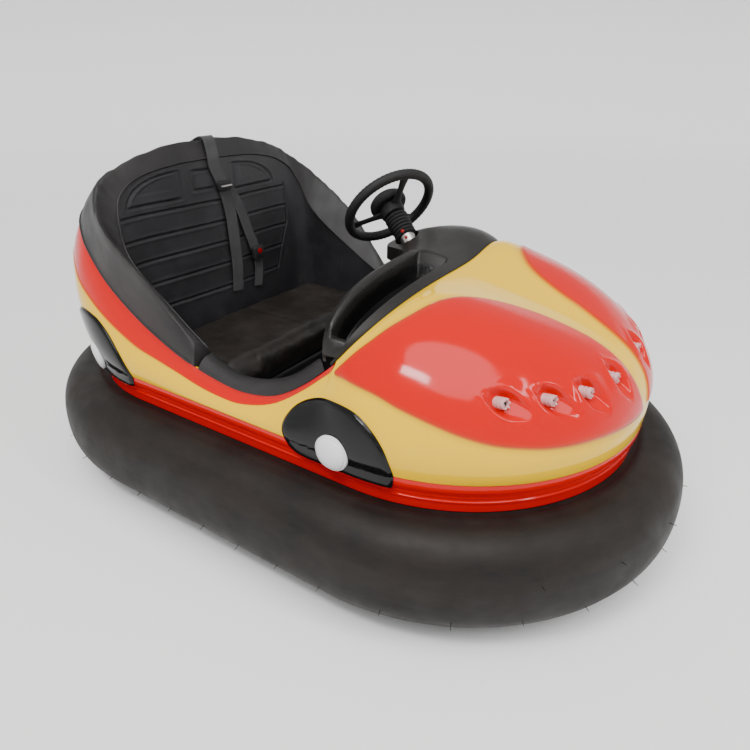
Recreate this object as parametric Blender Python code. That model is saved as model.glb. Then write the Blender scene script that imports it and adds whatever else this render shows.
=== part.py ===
"""Bumper car with an inflatable ring: two-seat moulded body, one steered drive wheel, two rear wheels.

Units are metres.  +X is forward, +Y is to the car's left, +Z is up.  The origin is on the floor,
under the middle of the ring.  Every driving dimension is a named constant below.
"""
import math

import bmesh
import bpy
import numpy as np
from mathutils import Vector
from mathutils.bvhtree import BVHTree

# ---------------------------------------------------------------- driving dimensions
GAP = 0.0003                    # air between faces that touch
RUN_GAP = 0.006                 # air round anything that moves

RING_HALF_LENGTH = 0.975        # inflatable ring, outside
RING_HALF_WIDTH = 0.616
RING_SECTION_HALF_WIDTH = 0.104
RING_BOTTOM = 0.042
RING_HEIGHT = 0.250
RING_ROUNDNESS = 2.4            # exponent of the ring's superellipse section

TUB_WALL = 0.004                # steel chassis tub inside the ring
TUB_FLOOR_Z = 0.100             # underside of the tub's floor
FLANGE_THICKNESS = 0.004
FLANGE_CLEAR = 0.003            # flange above the ring's crown
FLANGE_REACH = 0.062            # how far the flange passes out over the ring

BODY_HALF_WIDTH = 0.490         # moulded body at its lower edge
BODY_EDGE_Z = 0.365             # lower edge of the yellow body
BODY_WALL = 0.006
BODY_LEVELS = tuple(i / 8 for i in range(9))    # heights at which the body wall has sections
SKIRT_LIP_HEIGHT = 0.022        # red skirt under the body
SKIRT_INSET = 0.014
SKIRT_WALL = 0.005

DRIVE_X = 0.455                 # steered drive unit
DRIVE_WHEEL_RADIUS = 0.125
DRIVE_WHEEL_WIDTH = 0.070
DRIVE_HUB_RADIUS = 0.078
FORK_PLATE = 0.008
WELL_RADIUS = 0.228             # inside of the drum round the drive unit
WELL_WALL = 0.004
WELL_TOP_Z = 0.312
KINGPIN_RADIUS = 0.018

REAR_AXLE_X = -0.460            # rear wheels
REAR_TRACK_HALF = 0.300
REAR_WHEEL_RADIUS = 0.100
REAR_WHEEL_WIDTH = 0.050
REAR_HUB_RADIUS = 0.058
AXLE_RADIUS = 0.010
AXLE_CLEAR = 0.0006
BRACKET_PLATE = 0.005

DECK_THICKNESS = 0.006          # seat deck and what stands under it
DECK_FRONT_X = -0.120
CUSHION_HEIGHT = 0.092
CUSHION_FRONT_X = -0.090
FLOOR_PLATE = 0.005
DASH_WALL = 0.008
DASH_HALF_WIDTH = 0.382

COWL_DEPTH = 0.130              # black cowl behind the bonnet
COWL_RISE = 0.026
COWL_LIP = 0.045
COWL_WALL = 0.010
BINNACLE_Y = 0.150              # hump in front of the driver
BINNACLE_SPREAD = 0.095
BINNACLE_DEPTH = 0.155
BINNACLE_DROP = 0.052
BINNACLE_RISE = 0.016

ROLL_LIFT = 0.0012              # bedding under the padded roll and sills
LINER_WALL = 0.008              # black moulded cockpit liner
LINER_STEP = 0.006               # the liner steps up this far ahead of the deck
LINER_DROP = 0.015              # its outer edge stays this far under the roll
WHEEL_DISC_RADIUS = 0.150       # mock road wheels on the body's sides
WHEEL_DISC_RISE = 0.128
WHEEL_DISC_THICKNESS = 0.006
DISC_LIFT = 0.0022               # bedding under a mock wheel
WHEEL_DISC_BOTTOM_Z = 0.334
WHEEL_DISC_Z = 0.366
FRONT_DISC_X = 0.325
REAR_DISC_X = -0.520
HUB_CAP_RADIUS = 0.043
HUB_CAP_CROWN = 0.013

STEERING_CENTRE = np.array([0.040, 0.170, 0.758])
STEERING_AXIS = np.array([0.730, -0.330, -0.598])   # from the driver's hands down to the drive unit
STEERING_RADIUS = 0.128         # to the middle of the rim tube
STEERING_TUBE = 0.0135
SHAFT_RADIUS = 0.011
COLUMN_RADIUS = 0.024
COLUMN_START = 0.114            # along the steering axis from the wheel's middle
COLUMN_END = 0.345
BOOT_RADIUS = 0.034
BOOT_FOLDS = 5

BELT_WIDTH = 0.045
BELT_THICKNESS = 0.0025
BELT_LIFT = 0.0006

LAMP_RADIUS = 0.014
LAMP_LENGTH = 0.020
LAMP_LIFT = 0.00115              # keeps a lamp's flat base clear of the curved bonnet
LAMP_PLACES = ((0.661, 0.361, 0.549), (0.729, 0.283, 0.534), (0.772, 0.194, 0.525), (0.792, 0.094, 0.518))

# ---------------------------------------------------------------- derived sizes
END_CENTRE_X = RING_HALF_LENGTH - RING_HALF_WIDTH   # centre of each round end, shared by all outlines
RING_INNER = RING_HALF_WIDTH - 2 * RING_SECTION_HALF_WIDTH
RING_TOP = RING_BOTTOM + RING_HEIGHT
TUB_OUTER = RING_INNER - GAP
TUB_INNER = TUB_OUTER - TUB_WALL
FLOOR_TOP = TUB_FLOOR_Z + TUB_WALL
FLANGE_Z = RING_TOP + FLANGE_CLEAR
FLANGE_TOP = FLANGE_Z + FLANGE_THICKNESS
DECK_Z = FLANGE_TOP + GAP
DECK_TOP = DECK_Z + DECK_THICKNESS
PLATE_Z = FLOOR_TOP + GAP
PLATE_TOP = PLATE_Z + FLOOR_PLATE
STEER_DIR = STEERING_AXIS / np.linalg.norm(STEERING_AXIS)

# ---------------------------------------------------------------- materials
COLOURS = {
    "yellow_gelcoat": ((0.93, 0.62, 0.01, 1), 0.12, 0.0),
    "red_gelcoat": ((0.72, 0.02, 0.01, 1), 0.12, 0.0),
    "black_gloss": ((0.01, 0.01, 0.01, 1), 0.10, 0.0),
    "white_cap": ((0.80, 0.79, 0.80, 1), 0.25, 0.0),
    "black_rubber": ((0.025, 0.023, 0.022, 1), 0.70, 0.0),
    "black_vinyl": ((0.030, 0.029, 0.031, 1), 0.55, 0.0),
    "moulded_black": ((0.020, 0.020, 0.021, 1), 0.45, 0.0),
    "painted_steel": ((0.06, 0.06, 0.065, 1), 0.45, 0.4),
    "bright_steel": ((0.62, 0.60, 0.58, 1), 0.30, 1.0),
    "webbing": ((0.015, 0.015, 0.017, 1), 0.80, 0.0),
    "lamp_pink": ((0.85, 0.62, 0.60, 1), 0.25, 0.0),
    "battery_grey": ((0.10, 0.10, 0.11, 1), 0.50, 0.0),
}


def material(name):
    """Return the named Principled BSDF material, made the first time that it is asked for."""
    found = bpy.data.materials.get(name)
    if found:
        return found
    colour, roughness, metallic = COLOURS[name]
    made = bpy.data.materials.new(name)
    made.use_nodes = True
    shader = made.node_tree.nodes["Principled BSDF"]
    shader.inputs["Base Color"].default_value = colour
    shader.inputs["Roughness"].default_value = roughness
    shader.inputs["Metallic"].default_value = metallic
    return made


# ---------------------------------------------------------------- mesh helpers
def add_object(name, bm, material_name, origin=None, smooth_angle=40.0):
    """Turn a bmesh into a named object with its origin at the given world point."""
    bmesh.ops.recalc_face_normals(bm, faces=bm.faces)
    if bm.calc_volume(signed=True) < 0:
        bmesh.ops.reverse_faces(bm, faces=bm.faces)
    if origin is not None:
        bmesh.ops.translate(bm, verts=bm.verts, vec=[-c for c in origin])
    mesh = bpy.data.meshes.new(name)
    bm.to_mesh(mesh)
    bm.free()
    mesh.shade_smooth()
    mesh.set_sharp_from_angle(angle=math.radians(smooth_angle))
    mesh.materials.append(material(material_name))
    made = bpy.data.objects.new(name, mesh)
    bpy.context.scene.collection.objects.link(made)
    if origin is not None:
        made.location = origin
    return made


def loft(name, sections, material_name, closed, origin=None, smooth_angle=40.0, widest=4):
    """Skin a list of closed sections with the same point count; a closed loft ends where it starts."""
    bm = bmesh.new()
    rows = [[bm.verts.new(p) for p in section] for section in sections]
    count = len(rows[0])
    spans = len(rows) if closed else len(rows) - 1
    for i in range(spans):
        here, there = rows[i], rows[(i + 1) % len(rows)]
        for j in range(count):
            k = (j + 1) % count
            bm.faces.new((here[j], here[k], there[k], there[j]))
    if not closed:
        bm.faces.new(rows[0])
        bm.faces.new(rows[-1])
    bmesh.ops.triangulate(bm, faces=[f for f in bm.faces if len(f.verts) > widest])
    return add_object(name, bm, material_name, origin, smooth_angle)


def prism(name, outline, z0, z1, material_name, holes=(), origin=None):
    """Extrude a plan outline from z0 to z1, less vertical holes given as outlines of their own."""
    made = loft(name, [[(x, y, z) for x, y in outline] for z in (z0, z1)], material_name, False, origin)
    for i, hole in enumerate(holes):
        cut_with(made, [[(x, y, z) for x, y in hole] for z in (z0 - 0.02, z1 + 0.02)], f"{name}_cut_{i}")
    return made


def cut_with(target, sections, cutter_name):
    """Boolean away the solid lofted between two sections."""
    cutter = loft(cutter_name, sections, "painted_steel", False)
    cutter.hide_render = True
    cutter.display_type = "WIRE"
    cut = target.modifiers.new(cutter_name, "BOOLEAN")
    cut.object = cutter
    cut.operation = "DIFFERENCE"
    cut.solver = "EXACT"
    return cutter


def circle(radius, count, centre=(0.0, 0.0), start=0.0):
    """Points round a circle in plan."""
    turns = [start + 2 * math.pi * i / count for i in range(count)]
    return [(centre[0] + radius * math.cos(a), centre[1] + radius * math.sin(a)) for a in turns]


def rectangle(x0, x1, y0, y1):
    return [(x0, y0), (x1, y0), (x1, y1), (x0, y1)]


def frame_for(axis):
    """Two unit vectors square to the axis."""
    axis = np.asarray(axis, float) / np.linalg.norm(axis)
    helper = np.array([0.0, 0.0, 1.0]) if abs(axis[2]) < 0.9 else np.array([1.0, 0.0, 0.0])
    side = np.cross(axis, helper)
    side /= np.linalg.norm(side)
    return side, np.cross(axis, side)


def turned(name, profile, centre, axis, material_name, count=32, origin=None):
    """Revolve a closed profile of (radius, distance along axis) round an axis through centre."""
    axis = np.asarray(axis, float) / np.linalg.norm(axis)
    side, up = frame_for(axis)
    centre = np.asarray(centre, float)
    sections = []
    for i in range(count):
        a = 2 * math.pi * i / count
        out = math.cos(a) * side + math.sin(a) * up
        sections.append([tuple(centre + r * out + d * axis) for r, d in profile])
    return loft(name, sections, material_name, True, origin)


def rod(name, radius, start, end, material_name, count=24, origin=None):
    """Solid round bar between two points."""
    start, end = np.asarray(start, float), np.asarray(end, float)
    side, up = frame_for(end - start)
    turns = [2 * math.pi * i / count for i in range(count)]
    ends = [[tuple(p + radius * (math.cos(a) * side + math.sin(a) * up)) for a in turns]
            for p in (start, end)]
    return loft(name, ends, material_name, False, origin)


def spline(points, count):
    """Smooth open curve through points (Catmull-Rom), sampled evenly in parameter."""
    pts = np.asarray(points, float)
    padded = np.vstack([2 * pts[0] - pts[1], pts, 2 * pts[-1] - pts[-2]])
    values = []
    for t in np.linspace(0, len(pts) - 1, count):
        i = min(int(t), len(pts) - 2)
        values.append(catmull(padded[i:i + 4], t - i))
    return np.array(values)


def catmull(four, t):
    a, b, c, d = four
    bend = (2 * a - 5 * b + 4 * c - d) * t * t + (3 * b - a - 3 * c + d) * t ** 3
    return 0.5 * (2 * b + (c - a) * t + bend)


def table(keys, s):
    """Read a smooth table: rows of (s, value, value, ...), Catmull-Rom with uneven steps."""
    rows = np.asarray(keys, float)
    x = rows[:, 0]
    slopes = np.gradient(rows[:, 1:], x, axis=0)
    i = int(np.clip(np.searchsorted(x, s) - 1, 0, len(x) - 2))
    h = x[i + 1] - x[i]
    t = (s - x[i]) / h
    return ((2 * t ** 3 - 3 * t ** 2 + 1) * rows[i, 1:] + (t ** 3 - 2 * t ** 2 + t) * h * slopes[i]
            + (3 * t ** 2 - 2 * t ** 3) * rows[i + 1, 1:] + (t ** 3 - t ** 2) * h * slopes[i + 1])


# ---------------------------------------------------------------- outlines shared by ring, tub and body
def stadium_point(reach, s):
    """Point and outward normal on a stadium of half-width reach; s runs 0 at the nose to 1 at the tail."""
    quarter = math.pi / 2 * BODY_HALF_WIDTH
    total = 2 * quarter + 2 * END_CENTRE_X
    along = abs(s) * total
    if along < quarter:
        angle, cx = along / BODY_HALF_WIDTH, END_CENTRE_X
    elif along < quarter + 2 * END_CENTRE_X:
        angle, cx = math.pi / 2, END_CENTRE_X - (along - quarter)
    else:
        angle, cx = math.pi / 2 + (along - quarter - 2 * END_CENTRE_X) / BODY_HALF_WIDTH, -END_CENTRE_X
    side = -1.0 if s >= 0 else 1.0
    normal = np.array([math.cos(angle), side * math.sin(angle)])
    return np.array([cx, 0.0]) + reach * normal, normal


def s_at_x(x):
    """Parameter s of the point on the straight side at a given x."""
    quarter = math.pi / 2 * BODY_HALF_WIDTH
    return (quarter + END_CENTRE_X - x) / (2 * quarter + 2 * END_CENTRE_X)


def loop_parameters(count_end, count_side):
    """Parameters all round a stadium: count_end steps in each quarter circle, count_side on each side."""
    front, back = s_at_x(END_CENTRE_X), s_at_x(-END_CENTRE_X)
    right = list(np.linspace(0, front, count_end, endpoint=False))
    right += list(np.linspace(front, back, count_side, endpoint=False))
    right += list(np.linspace(back, 1, count_end, endpoint=False))
    return right + [1.0] + [-s for s in reversed(right[1:])]


def swept_loop(name, profile, material_name, count_end=12, count_side=4):
    """Sweep a closed profile of (reach from the centre line, z) round the stadium."""
    sections = []
    for s in loop_parameters(count_end, count_side):
        centre, normal = stadium_point(0.0, s)
        sections.append([(*(centre + reach * normal), z) for reach, z in profile])
    return loft(name, sections, material_name, True)


def stadium_outline(reach, count_end=14, count_side=2):
    return [tuple(stadium_point(reach, s)[0]) for s in loop_parameters(count_end, count_side)]


# ---------------------------------------------------------------- body surface
CORNER_X = 0.262                # where the bonnet's rear arch meets the cockpit's side
ARCH_HALF_WIDTH = 0.420
ARCH_FOOT_Z = 0.537
ARCH_RISE = 0.131
ARCH_EXPONENT = 2.35
ARCH_RAKE = 0.80                # forward lean of the arch for each metre of rise
ARCH_BOW = -0.020
SWELL_HEIGHT = 0.034            # bonnet stands higher in front of the driver
SWELL_X = 0.330
SWELL_Y = 0.250
SWELL_LENGTH = 0.090
SWELL_WIDTH = 0.120


def arch_point(turn):
    """Rear edge of the bonnet: turn is 0 at its top and 1 at its foot."""
    c, s = math.cos(turn * math.pi / 2), math.sin(turn * math.pi / 2)
    y = ARCH_HALF_WIDTH * s ** (2 / ARCH_EXPONENT)
    rise = ARCH_RISE * c ** (2 / ARCH_EXPONENT)
    x = CORNER_X + ARCH_BOW + ARCH_RAKE * rise - ARCH_BOW * (y / ARCH_HALF_WIDTH) ** 2
    return np.array([x, y, ARCH_FOOT_Z + rise])


S_CORNER = s_at_x(CORNER_X)
# rim of the cockpit on one side: s, x, distance from the middle, z
RIM = [
    (S_CORNER, CORNER_X, 0.420, 0.537), (s_at_x(0.20), 0.205, 0.433, 0.487), (s_at_x(0.12), 0.125, 0.447, 0.437),
    (s_at_x(0.03), 0.030, 0.456, 0.419), (s_at_x(-0.08), -0.080, 0.459, 0.430), (s_at_x(-0.20), -0.200, 0.456, 0.459),
    (s_at_x(-0.31), -0.310, 0.451, 0.501), (0.688, -0.400, 0.446, 0.547), (0.760, -0.505, 0.436, 0.620),
    (0.825, -0.590, 0.412, 0.697), (0.880, -0.650, 0.362, 0.747), (0.920, -0.680, 0.290, 0.775),
    (0.965, -0.700, 0.150, 0.797), (1.0, -0.705, 0.0, 0.803),
]
# curvature of the wall: s, lower handle out and up, upper handle out and down
BULGE = [
    (0.0, 0.022, 0.215, 0.342, 0.065), (0.09, 0.067, 0.205, 0.149, -0.053), (0.18, 0.069, 0.120, 0.150, -0.035),
    (0.27, 0.029, 0.089, 0.123, 0.073), (0.34, 0.015, 0.070, 0.063, 0.092),
    (S_CORNER, 0.010, 0.060, 0.020, 0.050), (0.50, 0.004, 0.020, 0.004, 0.020), (0.66, 0.020, 0.060, 0.015, 0.050),
    (0.80, 0.040, 0.120, 0.060, 0.120), (1.0, 0.045, 0.150, 0.125, 0.105),
]


def swelled(point):
    """Point of the bonnet raised by its swelling on the driver's side."""
    reach = ((point[0] - SWELL_X) / SWELL_LENGTH) ** 2 + ((point[1] - SWELL_Y) / SWELL_WIDTH) ** 2
    return point + np.array([0.0, 0.0, SWELL_HEIGHT * math.exp(-reach)])


def rim_point(s):
    """Upper edge of the body wall at s, on the side of s's sign."""
    return swelled(plain_rim_point(s))


def plain_rim_point(s):
    """Upper edge of the body wall before the driver's swelling."""
    side = -1.0 if s >= 0 else 1.0
    if abs(s) < S_CORNER:
        x, y, z = arch_point(abs(s) / S_CORNER)
    else:
        x, y, z = table(RIM, abs(s))
    return np.array([x, side * y, z])


def body_steps():
    """Parameters round one half of the body at which its wall has sections."""
    return [s for s in loop_parameters(12, 10) if s >= 0]


def steps_between(first, last):
    """Section parameters of the body from first to last, both ends included."""
    return [first] + [s for s in body_steps() if first + 1e-4 < s < last - 1e-4] + [last]


def rim_edge(s):
    """Point on the faceted rim of the body, which runs straight between its sections."""
    steps = body_steps()
    i = int(np.clip(np.searchsorted(steps, abs(s)) - 1, 0, len(steps) - 2))
    share = (abs(s) - steps[i]) / (steps[i + 1] - steps[i])
    sign = 1.0 if s >= 0 else -1.0
    return (1 - share) * rim_point(sign * steps[i]) + share * rim_point(sign * steps[i + 1])


def body_point(s, v):
    """Outer face of the body: s round the car, v from the lower edge (0) to the rim (1)."""
    foot, normal = stadium_point(BODY_HALF_WIDTH, s)
    foot = np.array([*foot, BODY_EDGE_Z])
    out = np.array([*normal, 0.0])
    up = np.array([0.0, 0.0, 1.0])
    top = plain_rim_point(s)
    low_out, low_up, high_out, high_down = table(BULGE, abs(s))
    handle_low = foot + low_out * out + low_up * up
    handle_high = top + high_out * out - high_down * up
    w = 1 - v
    return swelled(w ** 3 * foot + 3 * w * w * v * handle_low + 3 * w * v * v * handle_high + v ** 3 * top)


def body_normal(s, v):
    """Outward unit normal of the body's outer face."""
    ds, dv = 1e-3, 1e-3
    v0, v1 = max(0.0, v - dv), min(1.0, v + dv)
    s0, s1 = s - ds, s + ds
    if s1 > 1:
        s1 = 1.0
    along = body_point(s1, v) - body_point(s0, v)
    if s < 0:
        along = body_point(-s0, v) * [1, -1, 1] - body_point(-s1, v) * [1, -1, 1]
        along = -along
    rise = body_point(s, v1) - body_point(s, v0)
    normal = np.cross(rise, along) if s >= 0 else np.cross(along, rise)
    normal /= np.linalg.norm(normal)
    outward = np.array([*stadium_point(1.0, s)[1], 0.4])
    return normal if normal @ outward > 0 else -normal


BODY_FACES = []                  # the finished faces of the body, for seating parts on them
LINER_FACES = []                 # and those of the cockpit liner


def on_faces(s, v):
    """Point on the finished faces of the body nearest parameters (s, v), and the outward direction there."""
    point, normal = body_point(s, v), body_normal(s, v)
    hit = BODY_FACES[0].ray_cast(Vector(point + 0.03 * normal), Vector(-normal), 0.06)[0]
    return (np.array(hit) if hit else point), normal


def place_on_body(target):
    """Parameters (s, v) of the body's point nearest to a target on the bonnet's right-hand half."""
    best = (0.1, 0.4)
    reach = (0.1, 0.35)
    for _ in range(14):
        options = [(best[0] + i * reach[0] / 4, best[1] + j * reach[1] / 4)
                   for i in range(-4, 5) for j in range(-4, 5)]
        options = [(max(0.0, a), min(0.98, max(0.02, b))) for a, b in options]
        best = min(options, key=lambda o: np.linalg.norm(body_point(*o) - target))
        reach = (reach[0] * 0.55, reach[1] * 0.55)
    return best


def build_body():
    """One moulding: bonnet, sides and tail, open at the cockpit and below."""
    sections = []
    for s in loop_parameters(12, 10):
        outer = [body_point(s, v) for v in BODY_LEVELS]
        inner = [body_point(s, v) - BODY_WALL * body_normal(s, v) for v in BODY_LEVELS]
        inner[0][2] = BODY_EDGE_Z
        if abs(s) <= S_CORNER:
            turn = math.copysign(abs(s) / S_CORNER, s)
            inner[-1] = outer[-1] - BODY_WALL * arch_normal(-turn)
        else:
            inner[-1][2] = outer[-1][2] - 1.6 * BODY_WALL * max(0.0, rim_slope(s)) - 0.001
        sections.append([tuple(p) for p in outer + inner[::-1]])
    body = loft("main_body", sections, "yellow_gelcoat", True, widest=3)
    BODY_FACES.append(BVHTree.FromPolygons([v.co for v in body.data.vertices],
                                           [tuple(f.vertices) for f in body.data.polygons]))
    return body


# ---------------------------------------------------------------- chassis, ring and skirt
def build_ring():
    steps = 16
    profile = []
    for i in range(steps):
        a = 2 * math.pi * i / steps
        c, s = math.cos(a), math.sin(a)
        reach = RING_SECTION_HALF_WIDTH * math.copysign(abs(c) ** (2 / RING_ROUNDNESS), c)
        rise = RING_HEIGHT / 2 * math.copysign(abs(s) ** (2 / RING_ROUNDNESS), s)
        profile.append((RING_HALF_WIDTH - RING_SECTION_HALF_WIDTH + reach, RING_BOTTOM + RING_HEIGHT / 2 + rise))
    return swept_loop("bumper_ring", profile, "black_rubber")


def build_tub():
    """Steel tub: floor, wall behind the ring and the flange that carries the body."""
    profile = [
        (TUB_OUTER, TUB_FLOOR_Z), (TUB_OUTER, FLANGE_Z), (TUB_OUTER + FLANGE_REACH, FLANGE_Z),
        (TUB_OUTER + FLANGE_REACH, FLANGE_TOP), (TUB_INNER, FLANGE_TOP), (TUB_INNER, FLOOR_TOP),
    ]
    bm = bmesh.new()
    rows = []
    for s in loop_parameters(12, 4):
        centre, normal = stadium_point(0.0, s)
        rows.append([bm.verts.new((*(centre + reach * normal), z)) for reach, z in profile])
    count = len(profile)
    for i in range(len(rows)):
        here, there = rows[i], rows[(i + 1) % len(rows)]
        for j in range(count - 1):
            bm.faces.new((here[j], here[j + 1], there[j + 1], there[j]))
    bm.faces.new([row[0] for row in rows])
    bm.faces.new([row[-1] for row in rows])
    bmesh.ops.triangulate(bm, faces=[f for f in bm.faces if len(f.verts) > 4])
    tub = add_object("chassis_tub", bm, "painted_steel")
    z0, z1 = TUB_FLOOR_Z - TUB_WALL, FLOOR_TOP + TUB_WALL
    well = circle(WELL_RADIUS, 40, (DRIVE_X, 0))
    cut_with(tub, [[(x, y, z) for x, y in well] for z in (z0, z1)], "well_cut")
    length = REAR_WHEEL_RADIUS + 0.020
    width = REAR_WHEEL_WIDTH / 2 + RUN_GAP + BRACKET_PLATE + GAP
    for side, label in ((-1, "right"), (1, "left")):
        slot = rectangle(REAR_AXLE_X - length, REAR_AXLE_X + length,
                         side * REAR_TRACK_HALF - width, side * REAR_TRACK_HALF + width)
        cut_with(tub, [[(x, y, z) for x, y in slot] for z in (z0, z1)], f"slot_cut_{label}")
    return tub


def build_skirt():
    """Red skirt: a lip flush with the body, a step in, then a plain band down to the flange."""
    out = BODY_HALF_WIDTH
    inset = out - SKIRT_INSET
    top = BODY_EDGE_Z - GAP
    lip = top - SKIRT_LIP_HEIGHT
    foot = FLANGE_TOP + GAP
    profile = [
        (out, top), (out, lip), (inset, lip - 0.008), (inset + 0.003, (lip + foot) / 2), (inset, foot),
        (inset - SKIRT_WALL, foot), (inset - SKIRT_WALL, top),
    ]
    return swept_loop("lower_skirt", profile, "red_gelcoat", 12, 7)


# ---------------------------------------------------------------- mock wheels on the body's sides
def side_height_to_v(s, z):
    """v of the body's outer face at height z."""
    low, high = 0.0, 1.0
    for _ in range(30):
        mid = (low + high) / 2
        if body_point(s, mid)[2] < z:
            low = mid
        else:
            high = mid
    return (low + high) / 2


def body_length():
    """Length of the body's lower edge from nose to tail."""
    return math.pi * BODY_HALF_WIDTH + 2 * END_CENTRE_X


def disc_patch(name, centre_x, side):
    """Thin black half-round plate that follows the body's side and hangs over the skirt."""
    grid_out = []
    s_mid = s_at_x(centre_x)
    total = body_length()
    columns = 17
    rows = 7
    for i in range(columns):
        a = math.pi * (i + 0.5) / columns
        along = WHEEL_DISC_RADIUS * math.cos(a)
        s = s_mid + along / total
        crown = WHEEL_DISC_Z + WHEEL_DISC_RISE * math.sin(a)
        s_limit = table_top(s)
        crown = min(crown, s_limit)
        column = []
        for j in range(rows):
            z = WHEEL_DISC_BOTTOM_Z + (crown - WHEEL_DISC_BOTTOM_Z) * j / (rows - 1)
            if z < BODY_EDGE_Z:
                point, normal = on_faces(side * s, 0.02)
                normal = np.array([normal[0], normal[1], 0.0]) / math.hypot(normal[0], normal[1])
                point[2] = z
            else:
                point, normal = on_faces(side * s, side_height_to_v(side * s, z))
            column.append((point, normal))
        grid_out.append(column)
    sections = []
    for column in grid_out:
        inner = [tuple(p + DISC_LIFT * n) for p, n in column]
        outer = [tuple(p + (DISC_LIFT + WHEEL_DISC_THICKNESS) * n) for p, n in column]
        sections.append(inner + outer[::-1])
    return loft(name, sections, "black_gloss", False)


def table_top(s):
    """Highest z that a side plate may reach at s: just under the rim."""
    return rim_point(s)[2] - 0.012


def build_discs():
    for label, x in (("front", FRONT_DISC_X), ("rear", REAR_DISC_X)):
        for side, hand in ((1, "right"), (-1, "left")):
            disc_patch(f"wheel_disc_{label}_{hand}", x, side)
            hub_cap(f"hub_cap_{label}_{hand}", x, side)


def disc_face(s, z):
    """Point and normal of a mock wheel's outer face."""
    if z < BODY_EDGE_Z:
        point = body_point(s, 0.0)
        point[2] = z
        normal = np.array([*stadium_point(1.0, s)[1], 0.0])
    else:
        v = side_height_to_v(s, z)
        point, normal = body_point(s, v), body_normal(s, v)
    return point + (DISC_LIFT + WHEEL_DISC_THICKNESS) * normal, normal


def hub_cap(name, centre_x, side):
    """White domed cap standing on its disc."""
    s_mid = s_at_x(centre_x)
    z_mid = WHEEL_DISC_Z + 0.020
    reach = HUB_CAP_RADIUS / body_length()
    points = [disc_face(side * (s_mid + ds), z_mid + dz)[0]
              for ds, dz in ((0, 0), (reach, 0), (-reach, 0), (0, HUB_CAP_RADIUS), (0, -HUB_CAP_RADIUS))]
    normal = np.cross(points[1] - points[2], points[3] - points[4])
    normal /= np.linalg.norm(normal)
    if normal[1] * side > 0:
        normal = -normal
    highest = max((p - points[0]) @ normal for p in points)
    base = points[0] + (highest + 0.0012) * normal
    steps = 6
    profile = [(0.0001, 0.0), (HUB_CAP_RADIUS, 0.0)]
    for i in range(1, steps):
        a = math.pi / 2 * i / steps
        profile.append((HUB_CAP_RADIUS * math.cos(a), 0.002 + HUB_CAP_CROWN * math.sin(a)))
    profile.append((0.0001, 0.002 + HUB_CAP_CROWN))
    return turned(name, profile, base, normal, "white_cap", 24)


# ---------------------------------------------------------------- cockpit
# inner crease of the padded roll on one side: s, x, distance from the middle, z
CREASE = [
    (S_CORNER, 0.215, 0.392, 0.530), (s_at_x(0.12), 0.110, 0.396, 0.455), (s_at_x(0.03), 0.020, 0.399, 0.428),
    (s_at_x(-0.08), -0.085, 0.399, 0.438), (s_at_x(-0.20), -0.190, 0.397, 0.490), (s_at_x(-0.31), -0.285, 0.393, 0.550),
    (0.688, -0.365, 0.391, 0.602), (0.760, -0.440, 0.387, 0.670), (0.825, -0.475, 0.370, 0.755),
    (0.880, -0.495, 0.335, 0.810), (0.920, -0.503, 0.270, 0.842), (0.965, -0.498, 0.140, 0.863),
    (1.0, -0.492, 0.0, 0.868),
]
# crest of the padded roll: s, x, distance from the middle, z
CREST = [
    (s_at_x(-0.14), -0.150, 0.436, 0.490), (s_at_x(-0.20), -0.205, 0.445, 0.550), (s_at_x(-0.31), -0.290, 0.457, 0.640),
    (0.688, -0.355, 0.459, 0.690), (0.760, -0.440, 0.450, 0.755), (0.825, -0.510, 0.405, 0.818),
    (0.880, -0.535, 0.345, 0.858), (0.920, -0.535, 0.270, 0.884), (0.965, -0.522, 0.140, 0.912),
    (1.0, -0.515, 0.0, 0.922),
]
ROLL_END_S = s_at_x(-0.14)


def mirrored(point, s):
    x, y, z = point
    return np.array([x, -y if s >= 0 else y, z])


def s_at_crease_x(x):
    """Parameter at which the crease has a given x, on the cockpit's side."""
    low, high = S_CORNER, 0.8
    for _ in range(40):
        mid = (low + high) / 2
        if table(CREASE, mid)[0] > x:
            low = mid
        else:
            high = mid
    return (low + high) / 2


def liner_foot(s):
    """Lower edge of the cockpit liner: at the floor in front, on the deck behind."""
    x, y, z = table(CREASE, abs(s))
    foot_z = PLATE_TOP + GAP if x > DECK_FRONT_X + LINER_STEP else DECK_TOP + GAP
    rear = max(0.0, (abs(s) - 0.66) / 0.34)
    return np.array([x + 0.02 * rear, min(y, 0.388), foot_z])


def build_liner():
    """Black moulded liner of the cockpit: seat back and side walls, open at the front."""
    step_front = s_at_crease_x(DECK_FRONT_X + LINER_STEP + 0.001)
    step_back = s_at_crease_x(DECK_FRONT_X + LINER_STEP - 0.001)
    right = steps_between(S_CORNER + 0.004, step_front) + steps_between(step_back, 1.0)
    sections = []
    for s in right + [-s for s in reversed(right[:-1])]:
        top = mirrored(table(CREASE, abs(s)), s)
        foot = mirrored(liner_foot(s), s)
        out = plan_outward(s)
        heights = np.linspace(0, 1, 6)
        inner = [foot + (top - foot) * t for t in heights]
        outer = [p + LINER_WALL * out for p in inner]
        outer[-1][2] += 1.6 * LINER_WALL * min(0.0, rim_slope(s)) - LINER_DROP
        sections.append([tuple(p) for p in inner + outer[::-1]])
    liner = loft("cockpit_liner", sections, "black_vinyl", False, widest=3)
    LINER_FACES.append(BVHTree.FromPolygons([v.co for v in liner.data.vertices],
                                            [tuple(f.vertices) for f in liner.data.polygons]))
    return liner


def rim_slope(s):
    """Fall from the crease out to the body's rim, for each metre in plan."""
    step = rim_point(s) - mirrored(table(CREASE, abs(s)), s)
    return step[2] / math.hypot(step[0], step[1])


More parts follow.
